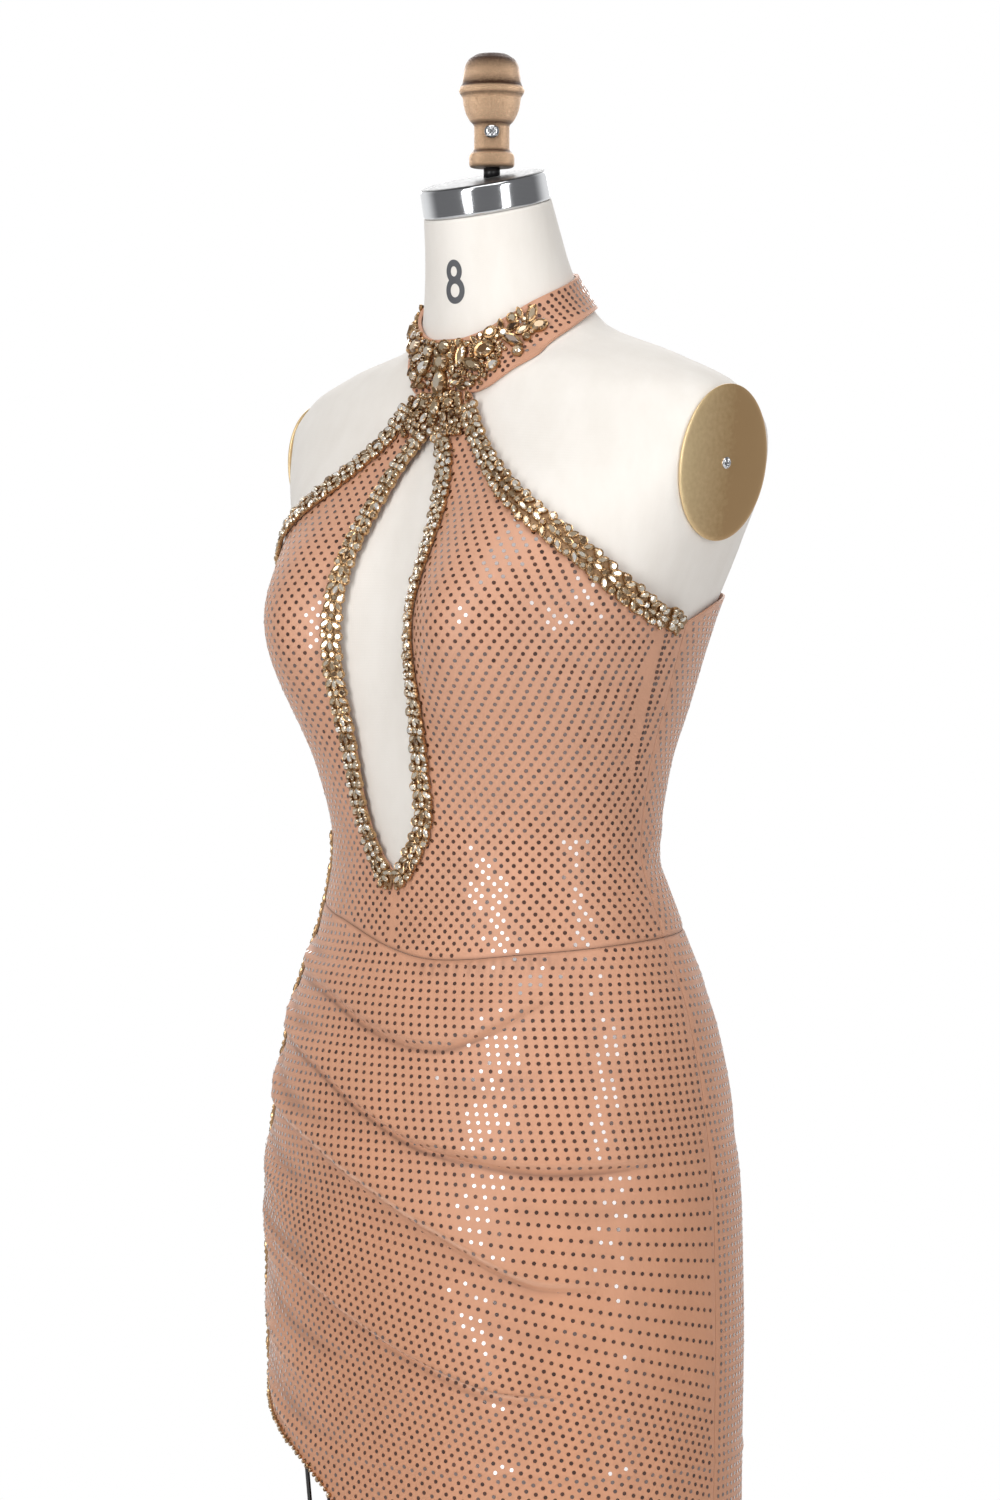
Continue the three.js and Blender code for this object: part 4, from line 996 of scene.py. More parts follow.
bodice_rows = np.arange(-80, 306, BODICE_NET["row"])
for name, inside, middle in (
    ("front_bodice_spangles", inside_front, 0),
    ("back_bodice_spangles", inside_back, 180),
):
    angle, height = net_of_spangles(bodice_rows, BODICE_NET["pitch"], True, no_sag, no_sag, inside, middle)
    set_spangles(name, angle, height, OUTSIDE)

# ---------------------------------------------------------------- Skirt
# The front wraps from the left side seam to the trimmed line on the wearer's right; the back is
# one piece. Below the hip both edges curve away from the trimmed line and leave a deep slit.

slit_front = fair_line([
    (-1062, 9), (-700, 5), (-520, 0), (-430, -10), (-404, -24), (-385, -42), (-368, -60),
])
slit_back = fair_line([(-1062, -104), (-520, -100), (-440, -93), (-400, -78), (-368, -60)])
skirt_steps = np.unique(np.concatenate([
    np.linspace(0, 5, 96)[:-1],
    [0.02, 0.05, 0.09],
    *[np.array([-0.03, 0.03, 0.07, 0.12, 0.17, 0.23]) + k for k in range(1, 5)],
]))
lower_heights = np.array([
    *np.arange(SLIT_TOP, -450, -2.5), *np.arange(-452, HEM, -7.0), HEM + 3, HEM + 1, HEM,
])


def skirt_panel(name, from_edge, to_edge, count):
    """A skirt panel whose rows follow the seam and the swags, then lie level down to the hem."""
    angles, heights = [], []
    share = np.concatenate([[0, 0.004, 0.01], np.linspace(0, 1, count)[1:-1], [0.99, 0.996, 1]])
    at_slit_line = np.array(float(SLIT_LINE))
    rows = [(float(skirt_height(step, at_slit_line)), step) for step in skirt_steps]
    rows += [(level, None) for level in lower_heights]
    for level, step in rows:
        angle = from_edge(level) + (to_edge(level) - from_edge(level)) * share
        height = np.full_like(angle, level) if step is None else skirt_height(step, angle)
        angles.append(angle)
        heights.append(height - (GAP / 2 if step == 0 else 0))
    grid = (np.array(angles)[::-1], np.array(heights)[::-1])
    return cloth_wall(name, [grid], EASE, OUTSIDE, [knit])


def half_gap(angle, height):
    """Half of the gap between two panels, in degrees."""
    return float(degrees_per_mm(angle, height)) * GAP / 2


def slit_side(height, line, way):
    """The angle of a panel's edge along the trimmed line and, below it, along its side of the slit."""
    angle = float(line(height)) if height < SLIT_TOP else SLIT_LINE
    return angle + way * half_gap(angle, height)


skirt_front = skirt_panel(
    "front_skirt",
    lambda h: slit_side(h, slit_front, 1),
    lambda h: SIDE_SEAM - half_gap(SIDE_SEAM, h),
    112,
)
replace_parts(skirt_front, "skirt_front")
skirt_back = skirt_panel(
    "back_skirt",
    lambda h: SIDE_SEAM + half_gap(SIDE_SEAM, h),
    lambda h: 360 + slit_side(h, slit_back, -1),
    110,
)
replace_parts(skirt_back, "skirt_back")

SKIRT_NET = {"row": 5.4, "pitch": 6.3}
GRAIN = {"leans_from": -80, "lean": 0.3, "sags_from": -190, "sags_fully": -300, "slope": 0.28}


def skirt_sag(start):
    """The rows are level at the hip, and slope down to the wearer's left below it."""
    return GRAIN["slope"] * float(ease_step(-start, -GRAIN["sags_from"], -GRAIN["sags_fully"]))


def skirt_shift(start):
    """The columns lean to the wearer's left from the first swag down."""
    return GRAIN["lean"] * max(0, GRAIN["leans_from"] - start)


def inside_skirt(from_line, to_line):
    """Where a skirt panel between two lines may carry spangles."""
    def inside(angle, height):
        edge = NET_MARGIN * degrees_per_mm(angle, height)
        within = (angle > from_line(height) + edge) & (angle < to_line(height) - edge)
        return within & (height < WAIST_SEAM(wrap(angle)) - NET_MARGIN) & (height > HEM + 3)
    return inside


def slit_or_line(line):
    """The slit's edge below its top, and the trimmed line above."""
    return lambda height: np.where(height < SLIT_TOP, line(height), SLIT_LINE)


front_of_skirt = inside_skirt(slit_or_line(slit_front), lambda height: SIDE_SEAM)
back_of_skirt = inside_skirt(
    lambda height: SIDE_SEAM,
    lambda height: 360 + slit_or_line(slit_back)(height),
)
skirt_rows = np.arange(60, HEM - 60, -SKIRT_NET["row"])
for name, inside, sag, shift, middle in (
    ("front_skirt_spangles", front_of_skirt, skirt_sag, skirt_shift, 0),
    ("back_skirt_spangles", back_of_skirt, no_sag, no_sag, 180),
):
    angle, height = net_of_spangles(skirt_rows, SKIRT_NET["pitch"], False, sag, shift, inside, middle)
    set_spangles(name, angle, height, OUTSIDE)

# ---------------------------------------------------------------- Collar
# A stiffened halter band of the same knit, snug round the neck and deeper at the front, where the
# straps are sewn to it. Its ends butt at the nape and fasten with two covered buttons.

COLLAR_NET = {"from": 300, "to": 372, "row": 3.3, "pitch": 6.2, "nape": 178.5, "below": 2, "above": 1.8}
BUTTONS = {"angle": 174.0, "shares": (0.28, 0.74)}
COLLAR_EASE = 0.9
COLLAR_CLOTH = 2.2
COLLAR_OUTSIDE = COLLAR_EASE + COLLAR_CLOTH
NAPE = 179.8


def level_on_collar(angle, share):
    """The height at a share of the collar's depth, from its lower edge up."""
    return collar_lower(angle) * (1 - share) + collar_upper(angle) * share


collar_angles = np.linspace(-NAPE, NAPE, 241)
collar_shares = np.array([0, 0.03, 0.08, *np.linspace(0.15, 0.85, 12), 0.92, 0.97, 1])[:, None]
collar_heights = level_on_collar(collar_angles, collar_shares)
collar = cloth_wall(
    "halter_collar",
    [(np.tile(collar_angles, (len(collar_shares), 1)), collar_heights)],
    COLLAR_EASE, COLLAR_OUTSIDE, [knit],
)
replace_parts(collar, "collar")


def inside_collar(angle, height):
    """Where the collar may carry spangles."""
    turned_angle = np.clip(angle, -180, 180)
    below_top = height < collar_upper(turned_angle) - COLLAR_NET["below"]
    above_edge = height > collar_lower(turned_angle) + COLLAR_NET["above"]
    return (np.abs(angle) < COLLAR_NET["nape"]) & below_top & above_edge


collar_rows = np.arange(COLLAR_NET["from"], COLLAR_NET["to"], COLLAR_NET["row"])
angle, height = net_of_spangles(collar_rows, COLLAR_NET["pitch"], True, no_sag, no_sag, inside_collar)
set_spangles("collar_spangles", angle, height, COLLAR_OUTSIDE)

button_points, button_faces = turned([(0, 0), (3.4, 0), (5, 1.4), (3.8, 3.2), (0, 4)], 1.2, 40)
for number, share in enumerate(BUTTONS["shares"], 1):
    level = float(level_on_collar(BUTTONS["angle"], share))
    out = directions(BUTTONS["angle"], level)[2]
    spot = skin(np.array(BUTTONS["angle"]), np.array(level), COLLAR_OUTSIDE + GAP)
    placed = facing(button_points, spot, out)
    button = make_piece(f"covered_button_{number}", placed, button_faces, [knit])
    lay_grain(button, button_points[:, 0], button_points[:, 1])
    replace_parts(button, f"nape_button_{number}")

# ---------------------------------------------------------------- Stone trims
# Crystals in pale gold claw settings are sewn along the keyhole and the armholes in small
# flowers, 12.4 mm apart, on a narrow band of gold net whose free edge is scalloped.

PITCH = 12.4
TRIM_WIDTH = 15
TRIM_LIFT = OUTSIDE + 0.8
NET_BAND = 1.0
BAND_SHARE = 0.74
SCALLOP = 1.5
ARM_TRIM_TOP = 294
FLOWER = (  # kind, along the band, towards its free edge, length, width, turn
    ("navette", 2.7, 0.0, 7.8, 3.9, 0), ("navette", 1.2, 4.0, 7.4, 3.8, 42),
    ("navette", 1.2, -4.0, 7.4, 3.8, -42), ("round", -4.0, 5.2, 5.2, 5.2, 0),
    ("round", -4.3, 0.2, 4.3, 4.3, 0), ("round", -3.9, -4.8, 4.6, 4.6, 0),
    ("round", 5.9, 5.6, 2.6, 2.6, 0), ("round", 5.9, -5.6, 2.4, 2.4, 0),
)


def outline(kind, count):
    """Corners of a stone's girdle, one unit long: a round or oval, a pear or a navette."""
    turn = np.arange(count) * 2 * np.pi / count
    x, y = np.cos(turn), np.sin(turn)
    if kind == "navette":
        y = y * np.abs(y) ** 0.45
    if kind == "pear":
        y = y * (1 - 0.42 * x) * 0.86
    return np.stack([x / 2, y / 2], -1)


def jewel(kind, length, width):
    """A cut stone in its setting: facets round a flat table, and a metal band with four claws."""
    count = 8 if max(length, width) < 4 else 12
    rise = 0.42 * min(length, width) + 0.5
    shape = outline(kind, count) * (length, width)
    half_turned = (shape + np.roll(shape, -1, 0)) / 2
    rings = [(shape * 0.93, 0.2 * rise), (shape * 0.91, 0.5 * rise), (half_turned * 0.62, rise)]
    stone = np.concatenate([np.column_stack([ring, np.full(count, z)]) for ring, z in rings])
    faces = strips(2, count, closed=True).reshape(-1, 4).tolist()
    for k in range(count):
        low, low_after = count + k, count + (k + 1) % count
        high, high_after = low + count, low_after + count
        faces += [[low, low_after, high], [high, low_after, high_after]]
    faces.append(list(range(2 * count, 3 * count)))
    metal = [(shape * 1.12, -0.9), (shape * 1.24, 0.1 * rise), (shape * 1.18, 0.6 * rise)]
    metal.append((shape * 0.92, 0.5 * rise))
    band = np.concatenate([np.column_stack([ring, np.full(count, z)]) for ring, z in metal])
    metal_faces = (strips(4, count, closed=True).reshape(-1, 4) + len(stone)).tolist()
    points, kinds = [stone, band], [0] * len(faces) + [1] * len(metal_faces)
    faces = faces + metal_faces
    for k in range(0, count, count // 4):
        foot = shape[k] * 1.12
        tip = shape[k] * 0.82
        aside = np.array([-shape[k][1], shape[k][0]])
        aside = aside / np.linalg.norm(aside) * 0.28
        start = sum(len(p) for p in points)
        points.append(np.array([
            [*(foot - aside), 0.1 * rise], [*(foot + aside), 0.1 * rise], [*(tip + aside), 0.86 * rise],
            [*(tip - aside), 0.86 * rise], [*(foot * 1.04), 0.62 * rise],
        ]))
        faces += [[start + i for i in face] for face in ([0, 1, 4], [1, 2, 4], [2, 3, 4], [3, 0, 4])]
        kinds += [1] * 4
    return np.concatenate(points), faces, kinds


jewel_patterns = {}


def set_jewels(name, placed, materials):
    """Sets jewels on the cloth: each is (kind, length, width, place, direction along it, outward normal)."""
    points, faces, kinds, start = [], [], [], 0
    for kind, length, width, place, along, out in placed:
        key = (kind, round(length, 1), round(width, 1))
        if key not in jewel_patterns:
            jewel_patterns[key] = jewel(*key)
        shape, shape_faces, shape_kinds = jewel_patterns[key]
        tipped = out + draw.normal(size=3) * 0.07
        tipped /= np.linalg.norm(tipped)
        along = along - tipped * (along @ tipped)
        along /= np.linalg.norm(along)
        turn = np.stack([along, np.cross(tipped, along), tipped])
        points.append(shape @ turn + place)
        faces += [[i + start for i in face] for face in shape_faces]
        kinds += shape_kinds
        start += len(shape)
    piece = make_piece(name, np.concatenate(points), faces, materials, kinds, smooth=False)
    # each face gets a random brightness: the painted glint of the facets
    facet = piece.data.attributes.new("facet", "FLOAT", "FACE")
    facet.data.foreach_set("value", draw.beta(0.95, 1.0, len(faces)).astype(np.float32))
    return piece


# painted glints: how bright each facet is painted, from dark to clear
TOPAZ_FACET_GLINTS = (  # how bright a facet is, and its colour: smoke, topaz, olive, champagne, clear
    (0.1, (0.07, 0.035, 0.015)), (0.3, (0.27, 0.14, 0.055)), (0.48, (0.45, 0.32, 0.18)),
    (0.66, (0.74, 0.61, 0.44)), (0.85, (0.95, 0.91, 0.85)),
)
CHAMPAGNE_FACET_GLINTS = (
    (0.08, (0.16, 0.09, 0.045)), (0.25, (0.40, 0.27, 0.15)), (0.45, (0.68, 0.56, 0.40)),
    (0.65, (0.86, 0.79, 0.66)), (0.85, (0.97, 0.95, 0.91)),
)


def crystal(name, glints_of_facets):
    """Foiled crystal: each facet's colour is painted brighter or darker at random, a painted glint, in one
    of a few tints, and each stone has its own tone.
    """
    material, node, feed = start_material(name)
    facet = node("ShaderNodeAttribute", attribute_name="facet").outputs["Fac"]
    chance = node("ShaderNodeNewGeometry").outputs["Random Per Island"]
    # each stone's own tone plus each facet's painted glint
    tint_and_glint = reckon(node, "MULTIPLY", reckon(node, "ADD", facet, chance), 0.5)
    feed("Base Color", ramp_through(node, tint_and_glint, glints_of_facets))
    feed("Metallic", 0.6)
    feed("Roughness", 0.06)
    feed("Coat Weight", 1.0)
    feed("Coat Roughness", 0.02)
    feed("Coat IOR", 1.6)
    return material


def pale_gold():
    """Pale gold plate on small castings, duller in patches."""
    material, node, feed = start_material("pale_gold_plate")
    dull = noise(node, 380.0, 4.0)
    feed("Base Color", ramp_between(node, dull, (0.30, 0.165, 0.07), (0.68, 0.46, 0.25), 0.3, 0.7))
    feed("Metallic", 1.0)
    feed("Roughness", ramp_between(node, dull, (0.38,) * 3, (0.2,) * 3))
    return material


def gold_net():
    """Close net of gold thread on a peach ground."""
    material, node, feed = start_material("gold_thread_net")
    threads = node("ShaderNodeTexVoronoi", {"Scale": 900.0}, feature="DISTANCE_TO_EDGE").outputs["Distance"]
    feed("Base Color", ramp_between(node, threads, (0.42, 0.25, 0.12), (0.15, 0.08, 0.05), 0.05, 0.3))
    feed("Metallic", 0.35)
    feed("Roughness", 0.45)
    feed("Normal", raised(node, threads, 0.5, 0.0003))
    return material


topaz, champagne = crystal("topaz_crystal", TOPAZ_FACET_GLINTS), crystal("champagne_crystal", CHAMPAGNE_FACET_GLINTS)
gold_plate, thread_net = pale_gold(), gold_net()


def spaced(angle, height, pitch):
    """Spots every pitch millimetres along a line on the cloth."""
    points = skin(angle, height, OUTSIDE)
    length = np.concatenate([[0], np.cumsum(np.linalg.norm(np.diff(points, axis=0), axis=1))])
    at = np.linspace(0, length[-1], max(2, round(length[-1] / pitch) + 1))
    return np.interp(at, length, angle), np.interp(at, length, height), at


def beside(angle, height, along, distance):
    """The spot a given distance to the right of a line's direction, in the cloth's surface."""
    across, up, out = directions(angle, height)
    aside = np.cross(along, out)
    aside = aside / np.linalg.norm(aside, axis=-1, keepdims=True)
    per_angle = (aside * across).sum(-1) / (across ** 2).sum(-1)
    per_height = (aside * up).sum(-1) / (up ** 2).sum(-1)
    return angle + distance * per_angle, height + distance * per_height


def lay_trim(name, node_name, angle, height, free_side, width):
    """A band along a line through its middle, with its net, its flowers of stones and its scallops."""
    angle_at_step, height_at_step, at = spaced(angle, height, 1.6)
    along = np.gradient(skin(angle_at_step, height_at_step, OUTSIDE), axis=0)
    wave = SCALLOP * np.cos(2 * np.pi * at / PITCH)
    half = np.interp(at, *width) / 2
    grid = [beside(angle_at_step, height_at_step, along, free_side * d) for d in (
        -half * BAND_SHARE, -half * 0.5, 0 * half, half * 0.5, half * BAND_SHARE + wave,
    )]
    angles, heights = np.stack([a for a, _ in grid]), np.stack([h for _, h in grid])
    across, up, out = directions(angle_at_step, height_at_step)
    if np.cross(along[0], out[0]) @ up[0] * free_side < 0:
        angles, heights = angles[::-1], heights[::-1]
    if (along * across)[:, :2].sum() < 0:
        angles, heights = angles[:, ::-1], heights[:, ::-1]
    band = cloth_wall(
        f"{name}_net", [(angles, heights)], TRIM_LIFT, TRIM_LIFT + NET_BAND, [thread_net],
    )
    placed = []
    for centre in np.arange(PITCH / 2, at[-1] + 1, PITCH):
        for kind, forward, outward, length, stone_width, turn in FLOWER:
            where = centre + forward + draw.normal() * 0.25
            if not 1.5 < where < at[-1] - 1.6:
                continue
            squeeze = min(1.0, float(np.interp(where, *width)) / TRIM_WIDTH)
            a, h = np.interp(where, at, angle_at_step), np.interp(where, at, height_at_step)
            heading = np.array([np.interp(where, at, along[:, k]) for k in range(3)])
            a, h = beside(a, h, heading, free_side * (outward * squeeze + draw.normal() * 0.2))
            spot = skin(a, h, TRIM_LIFT + NET_BAND + 0.5)
            out = directions(a, h)[2]
            heading = heading / np.linalg.norm(heading)
            side = np.cross(out, heading) * -free_side
            bearing = math.radians(turn + draw.normal() * 7)
            direction = heading * math.cos(bearing) + side * math.sin(bearing)
            placed.append((kind, length, stone_width, spot, direction, out))
    stones = set_jewels(f"{name}_stones", placed, [champagne, gold_plate])
    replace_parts(stones, node_name)
    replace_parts(band, node_name)


# Both bands turn in under the keyhole and meet at the centre front.
keyhole_foot = fair_line([(-21.5, 0.6), (-20.6, 3.4), (-17, 8), (-12, 11.8), (-5, 15.75)])
for side, hand in ((1, "left"), (-1, "right")):
    level = np.concatenate([np.linspace(KEYHOLE_TOP - 1, -18, 160), np.linspace(-18, -21.5, 24)[1:]])
    middle = np.where(level > -5, (keyhole_opening(level) + keyhole_trim(level)) / 2, keyhole_foot(level))
    edge_angle = side * angle_at(middle, level)
    length = spaced(edge_angle, level, 4)[2][-1]
    shares = np.linspace(0, 1, 12)
    width = (shares * length, np.interp(shares, [0, 0.93, 1], [14, TRIM_WIDTH, 14]))
    lay_trim(f"keyhole_{hand}", f"keyhole_trim_{hand}", edge_angle, level, side, width)
    edge = np.linspace(float(armhole_angle(ARM_TRIM_TOP)), SIDE_SEAM - 1, 120)
    angle, height, at = spaced(side * edge, armhole_height(edge), 3)
    heading = np.gradient(skin(angle, height, OUTSIDE), axis=0)
    angle, height = beside(angle, height, heading, side * TRIM_WIDTH / 2)
    width = ([0, at[-1]], [TRIM_WIDTH, TRIM_WIDTH])
    lay_trim(f"armhole_{hand}", f"armhole_trim_{hand}", angle, height, -side, width)

# ---------------------------------------------------------------- Collar stones and halter join
# Larger crystals crowd the front and the wearer's right of the collar: ovals in beaded rings, pears,
# navettes and rounds, each in its own claws. A rounded cluster of them covers the join of the straps.

COLLAR_STONES = {"from": -112, "to": 66, "lift": COLLAR_OUTSIDE + 1.0}
CROWDING = -0.3
LARGE_STONES = (  # kind, angle, share of the collar's depth, length, width, turn
    ("pear", 0, 0.22, 16, 11.5, 88), ("round", 1, 0.56, 10.5, 10.5, 0), ("oval", 2, 0.87, 9.5, 8, 0),
    ("pear", -10, 0.46, 12.5, 9, 80), ("navette", 13, 0.66, 14, 6.5, 58), ("navette", 15, 0.40, 15, 7, -52),
    ("pear", 22, 0.20, 8.5, 7, 30), ("oval", 26, 0.50, 12.5, 10, 12), ("oval", 33, 0.88, 8.5, 6.5, 20),
    ("navette", 42, 0.42, 14.5, 6.4, -58), ("round", 40, 0.68, 5.6, 5.6, 0),
    ("navette", 47, 0.72, 9.5, 4.8, 24), ("navette", 51, 0.52, 9.5, 4.8, 20),
    ("round", 50, 0.31, 5.2, 5.2, 0), ("round", 37, 0.14, 7, 7, 0),
    ("round", 48, 0.90, 6.2, 6.2, 0), ("oval", 61, 0.38, 11, 7.5, 4), ("navette", 61, 0.74, 12, 6, 46),
    ("round", -12, 0.74, 8.5, 8.5, 0), ("round", -13, 0.16, 7, 7, 0), ("navette", -20, 0.34, 11, 5.5, 60),
    ("oval", -27, 0.56, 12, 9.5, 70), ("navette", -38, 0.72, 12, 6, 40), ("navette", -40, 0.28, 12, 6, -40),
    ("oval", -52, 0.52, 13, 10, 80), ("navette", -64, 0.70, 12, 6, 30), ("pear", -66, 0.26, 10, 7, 200),
    ("oval", -80, 0.5, 12, 9.5, 80), ("navette", -92, 0.66, 11, 5.5, 60), ("round", -94, 0.26, 7, 7, 0),
    ("oval", -106, 0.5, 11, 9, 80),
)
BEADED_OVALS = ((26, 0.50), (-52, 0.52))
BEADS = {"count": 15, "radius": 9.4, "size": 2.9}
LOWEST_SHARE = fair_line([(-112, 0.12), (14, 0.08), (30, 0.30), (66, 0.34)])
collar_reach = np.linspace(COLLAR_STONES["from"], COLLAR_STONES["to"], 400)
collar_middle = (collar_lower(collar_reach) + collar_upper(collar_reach)) / 2
collar_line = skin(collar_reach, collar_middle, COLLAR_OUTSIDE)
collar_length = np.concatenate([[0], np.cumsum(np.linalg.norm(np.diff(collar_line, axis=0), axis=1))])


def collar_spot(length, share):
    """A spot on the collar, from the length round it and the share of its depth."""
    angle = np.interp(length, collar_length, collar_reach)
    return angle, level_on_collar(angle, share)


def turned_in_cloth(across, up, degrees):
    """The direction in the cloth that lies the given turn from across towards up."""
    bearing = math.radians(degrees)
    sideways = across / np.linalg.norm(across) * math.cos(bearing)
    return sideways + up / np.linalg.norm(up) * math.sin(bearing)


def fill_with_stones(large, choices, reach, spot_at, lift, tries, lowest=None):
    """Places the large stones, then drops smaller ones into the spaces that are left."""
    def place_of(length, share):
        angle, height = spot_at(length, share)
        return skin(np.array(float(angle)), np.array(float(height)), lift)

    taken = [(stone, place_of(*stone[1:3])) for stone in large]
    settled = lowest or (lambda length: reach[1][0])
    for kind, size, width in choices:
        lengths, shares = draw.uniform(*reach[0], tries), draw.uniform(*reach[1], tries)
        for length, share in zip(lengths, shares):
            if share < settled(length):
                continue
            here = place_of(length, share)
            apart = np.linalg.norm(np.array([place for _, place in taken]) - here, axis=1)
            room = [(stone[3] + stone[4] + size + width) / 4 + CROWDING for stone, _ in taken]
            if np.all(apart > room):
                taken.append(((kind, length, share, size, width, draw.uniform(0, 360)), here))
    placed = []
    for (kind, length, share, size, width, turn), place in taken:
        across, up, out = directions(*spot_at(length, share))
        placed.append((kind, size, width, place, turned_in_cloth(across, up, turn), out))
    return placed


large_on_collar = [
    (kind, float(np.interp(angle, collar_reach, collar_length)), share, size, width, turn)
    for kind, angle, share, size, width, turn in LARGE_STONES
]
for angle, share in BEADED_OVALS:
    depth = float(collar_upper(angle) - collar_lower(angle))
    middle = float(np.interp(angle, collar_reach, collar_length))
    for turn in np.arange(BEADS["count"]) * 2 * np.pi / BEADS["count"]:
        length = middle + BEADS["radius"] * math.cos(turn)
        bead_share = share + BEADS["radius"] * 0.92 * math.sin(turn) / depth
        large_on_collar.append(("round", length, bead_share, BEADS["size"], BEADS["size"], 0))
collar_choices = (
    ("navette", 7, 3.6), ("round", 5, 5), ("round", 3.6, 3.6), ("round", 2.4, 2.4), ("round", 1.7, 1.7),
)
collar_placed = fill_with_stones(
    large_on_collar, collar_choices, ((2, collar_length[-1] - 2), (0.08, 0.94)), collar_spot,
    COLLAR_STONES["lift"], 520, lambda length: LOWEST_SHARE(np.interp(length, collar_length, collar_reach)),
)
collar_stones = set_jewels("collar_crystals", collar_placed, [topaz, gold_plate])
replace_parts(collar_stones, "collar_stones")

JOIN = {"height": 285, "half_width": 27, "half_height": 18}


def join_spot(sideways, upward):
    """A spot in the join, which narrows with the straps from the collar down."""
    height = JOIN["height"] + upward
    return float(angle_at(sideways, height)), height


join_large = [
    ("pear", 0, 5, 12, 8.5, 90), ("round", -11, 8, 7, 7, 0), ("round", 11, 8, 7, 7, 0),
    ("navette", -9, -3, 9, 4.5, 60), ("navette", 9, -3, 9, 4.5, 120), ("round", 0, -6, 6, 6, 0),
    ("navette", -19, 9, 9, 4.5, 70), ("navette", 19, 9, 9, 4.5, 110), ("round", -16, 0, 5, 5, 0),
    ("round", 16, 0, 5, 5, 0), ("round", 0, -12.5, 5, 5, 0),
]
join_placed = fill_with_stones(
    join_large, (("round", 4, 4), ("round", 3, 3), ("round", 2, 2)),
    ((-JOIN["half_width"], JOIN["half_width"]), (-15, 17)), join_spot, TRIM_LIFT + 1.6, 300,
)
join_stones = set_jewels("halter_join_crystals", join_placed, [topaz, gold_plate])
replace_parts(join_stones, "halter_join_stones")

# ---------------------------------------------------------------- Side trim and slit edge
# A narrow line of navettes and rounds hides the seam from the waist down to the slit, and a row of
# small crystals goes on along the front edge of the slit.

SIDE_STONES = {"top": 5, "pitch": 5.5, "lean": 28, "zigzag": 1.2}
SLIT_STONES = {"pitch": 5.0, "inset": 2.2, "large": 3.2, "small": 2.4}
side_level = np.linspace(SIDE_STONES["top"], SLIT_TOP - 2, 300)
angle, height, _ = spaced(np.full_like(side_level, SLIT_LINE), side_level, SIDE_STONES["pitch"])
side_placed = []
for i, (a, h) in enumerate(zip(angle, height)):
    across, up, out = directions(a, h)
    lean = SIDE_STONES["lean"] if i % 4 == 0 else -SIDE_STONES["lean"]
    along = turned_in_cloth(across, up, 90 + lean)
    kind, length, width = (("navette", 7, 3.4), ("round", 3.4, 3.4))[i % 2]
    zigzag = SIDE_STONES["zigzag"] if i % 4 < 2 else -SIDE_STONES["zigzag"]
    aside = zigzag * float(degrees_per_mm(a, h))
    side_placed.append((kind, length, width, skin(a + aside, h, TRIM_LIFT + 1.1), along, out))
    side_placed.append(("round", 2.3, 2.3, skin(a - 2.4 * aside, h, TRIM_LIFT + 0.9), along, out))
side_band_columns = np.array([-4.5, -2, 0, 2, 4.5])
side_band_levels = np.linspace(SLIT_TOP - 2, SIDE_STONES["top"], 200)
side_band_turn = degrees_per_mm(SLIT_LINE, side_band_levels)[:, None]
side_band_angles = SLIT_LINE + side_band_columns[None, :] * side_band_turn
side_band = cloth_wall(
    "side_trim_net", [(side_band_angles, np.repeat(side_band_levels[:, None], len(side_band_columns), 1))],
    TRIM_LIFT, TRIM_LIFT + NET_BAND, [thread_net],
)
side_stones = set_jewels("side_trim_crystals", side_placed, [topaz, gold_plate])
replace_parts(side_stones, "side_trim")
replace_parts(side_band, "side_trim")

slit_level = np.linspace(SLIT_TOP - 3, HEM + 4, 500)
angle, height, _ = spaced(slit_front(slit_level), slit_level, SLIT_STONES["pitch"])
slit_placed = []
for i, (a, h) in enumerate(zip(angle, height)):
    a = a + SLIT_STONES["inset"] * float(degrees_per_mm(a, h))
    across, up, out = directions(a, h)
    size = SLIT_STONES["large"] if i % 3 == 0 else SLIT_STONES["small"]
    slit_placed.append(("round", size, size, skin(a, h, OUTSIDE + 0.9), across, out))
set_jewels("slit_edge_crystals", slit_placed, [topaz, gold_plate])

# ---------------------------------------------------------------- Studio
# A pale round floor, a tall soft lamp on either side of the camera, broad lamps above and behind,
# pale walls beyond, and a camera three metres away.

CAMERA = {"turn": 44.0, "distance": 3000, "eye": 1224, "dip": 1.54, "mm_per_px": 0.67}
PICTURE_LONG_SIDE = 1500
SENSOR = 36
camera_data = bpy.data.cameras.new("camera")
camera_data.sensor_width = SENSOR
camera_data.lens = SENSOR * CAMERA["distance"] / CAMERA["mm_per_px"] / PICTURE_LONG_SIDE
camera_data.shift_x = 0.002
camera = put_in_scene("camera", camera_data)
turn = math.radians(CAMERA["turn"])
camera.location = Vector((math.sin(turn), -math.cos(turn), 0)) * CAMERA["distance"] * MM
camera.location.z = CAMERA["eye"] * MM
camera.rotation_euler = (math.radians(90 - CAMERA["dip"]), 0, turn)
bpy.context.scene.camera = camera


def pale_floor():
    """Matt pale grey studio floor."""
    material, node, feed = start_material("pale_floor")
    feed("Base Color", ramp_between(node, noise(node, 1.5, 3.0), (0.83,) * 3, (0.86,) * 3))
    feed("Roughness", 0.7)
    return material


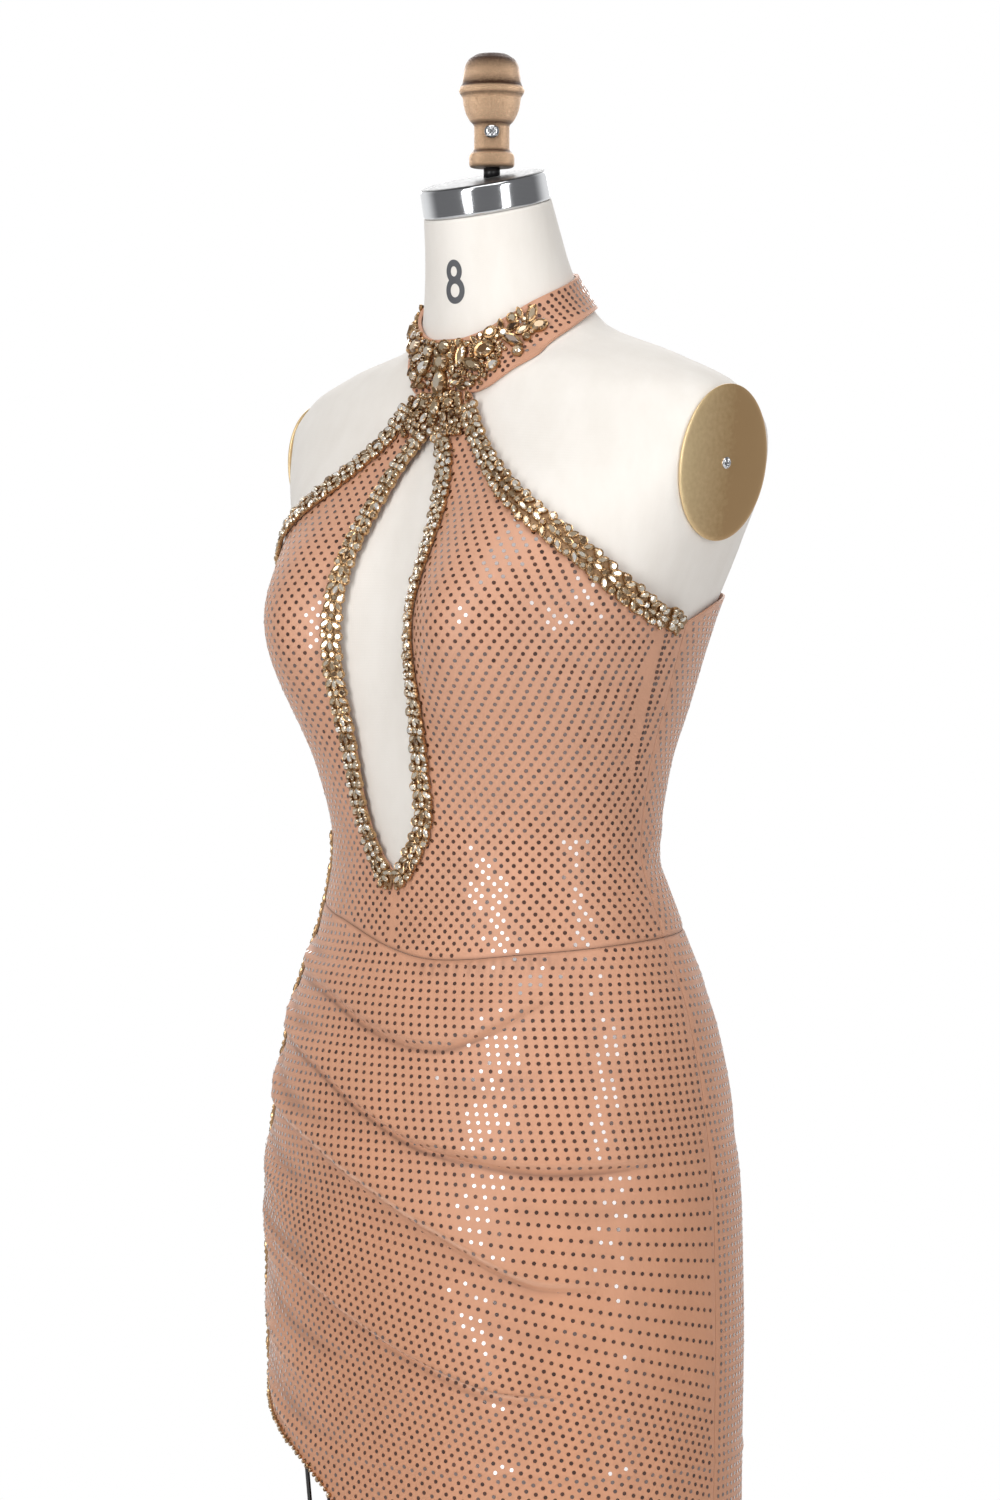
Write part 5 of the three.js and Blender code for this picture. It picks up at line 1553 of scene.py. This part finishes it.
FLOOR = {"radius": 2.9, "corners": 96}
floor_mesh = bpy.data.meshes.new("floor")
around = np.linspace(0, 2 * np.pi, FLOOR["corners"], endpoint=False)
floor_rim = np.stack([np.cos(around), np.sin(around), 0 * around], -1) * FLOOR["radius"]
floor_mesh.from_pydata(floor_rim.tolist(), [], [list(range(FLOOR["corners"]))])
floor_mesh.materials.append(pale_floor())
put_in_scene("floor", floor_mesh)

LAMPS = (  # name, turn, distance, height, width, tall, power, the height it is aimed at
    ("left_soft_lamp", 11, 2.4, 1.55, 0.62, 1.9, 30, 1.15),
    ("right_soft_lamp", 80, 2.4, 1.5, 0.55, 1.9, 18.5, 1.1),
    ("top_soft_lamp", 40, 1.3, 3.1, 1.8, 1.3, 21, 1.15),
    ("back_soft_lamp", 224, 3.2, 2.8, 3.0, 2.0, 50, 0.2),
)
for name, lamp_turn, distance, level, width, tall, power, aim in LAMPS:
    light = bpy.data.lights.new(name, "AREA")
    light.shape, light.size, light.size_y, light.energy = "RECTANGLE", width, tall, power
    lamp = put_in_scene(name, light)
    bearing = math.radians(lamp_turn)
    lamp.location = (distance * math.sin(bearing), -distance * math.cos(bearing), level)
    lamp.rotation_euler = (Vector((0, 0, aim)) - lamp.location).to_track_quat("-Z", "Y").to_euler()

WALL_TONES = ((0.15, (0.20, 0.20, 0.205, 1)), (0.75, (1, 1, 1, 1)))
world = bpy.data.worlds.new("studio")
world.use_nodes = True
sky, join = world.node_tree.nodes, world.node_tree.links
towards_wall = sky.new("ShaderNodeVectorMath")
towards_wall.operation = "DOT_PRODUCT"
towards_wall.inputs[1].default_value = (-math.sin(turn), math.cos(turn), 0)
join.new(sky.new("ShaderNodeTexCoord").outputs["Generated"], towards_wall.inputs[0])
walls = sky.new("ShaderNodeValToRGB")
walls.color_ramp.interpolation = "EASE"
for stop, (position, tone) in zip(walls.color_ramp.elements, WALL_TONES):
    stop.position, stop.color = position, tone
join.new(towards_wall.outputs["Value"], walls.inputs["Fac"])
join.new(walls.outputs["Color"], sky["Background"].inputs["Color"])
bpy.context.scene.world = world
bpy.context.scene.view_settings.view_transform = "Standard"
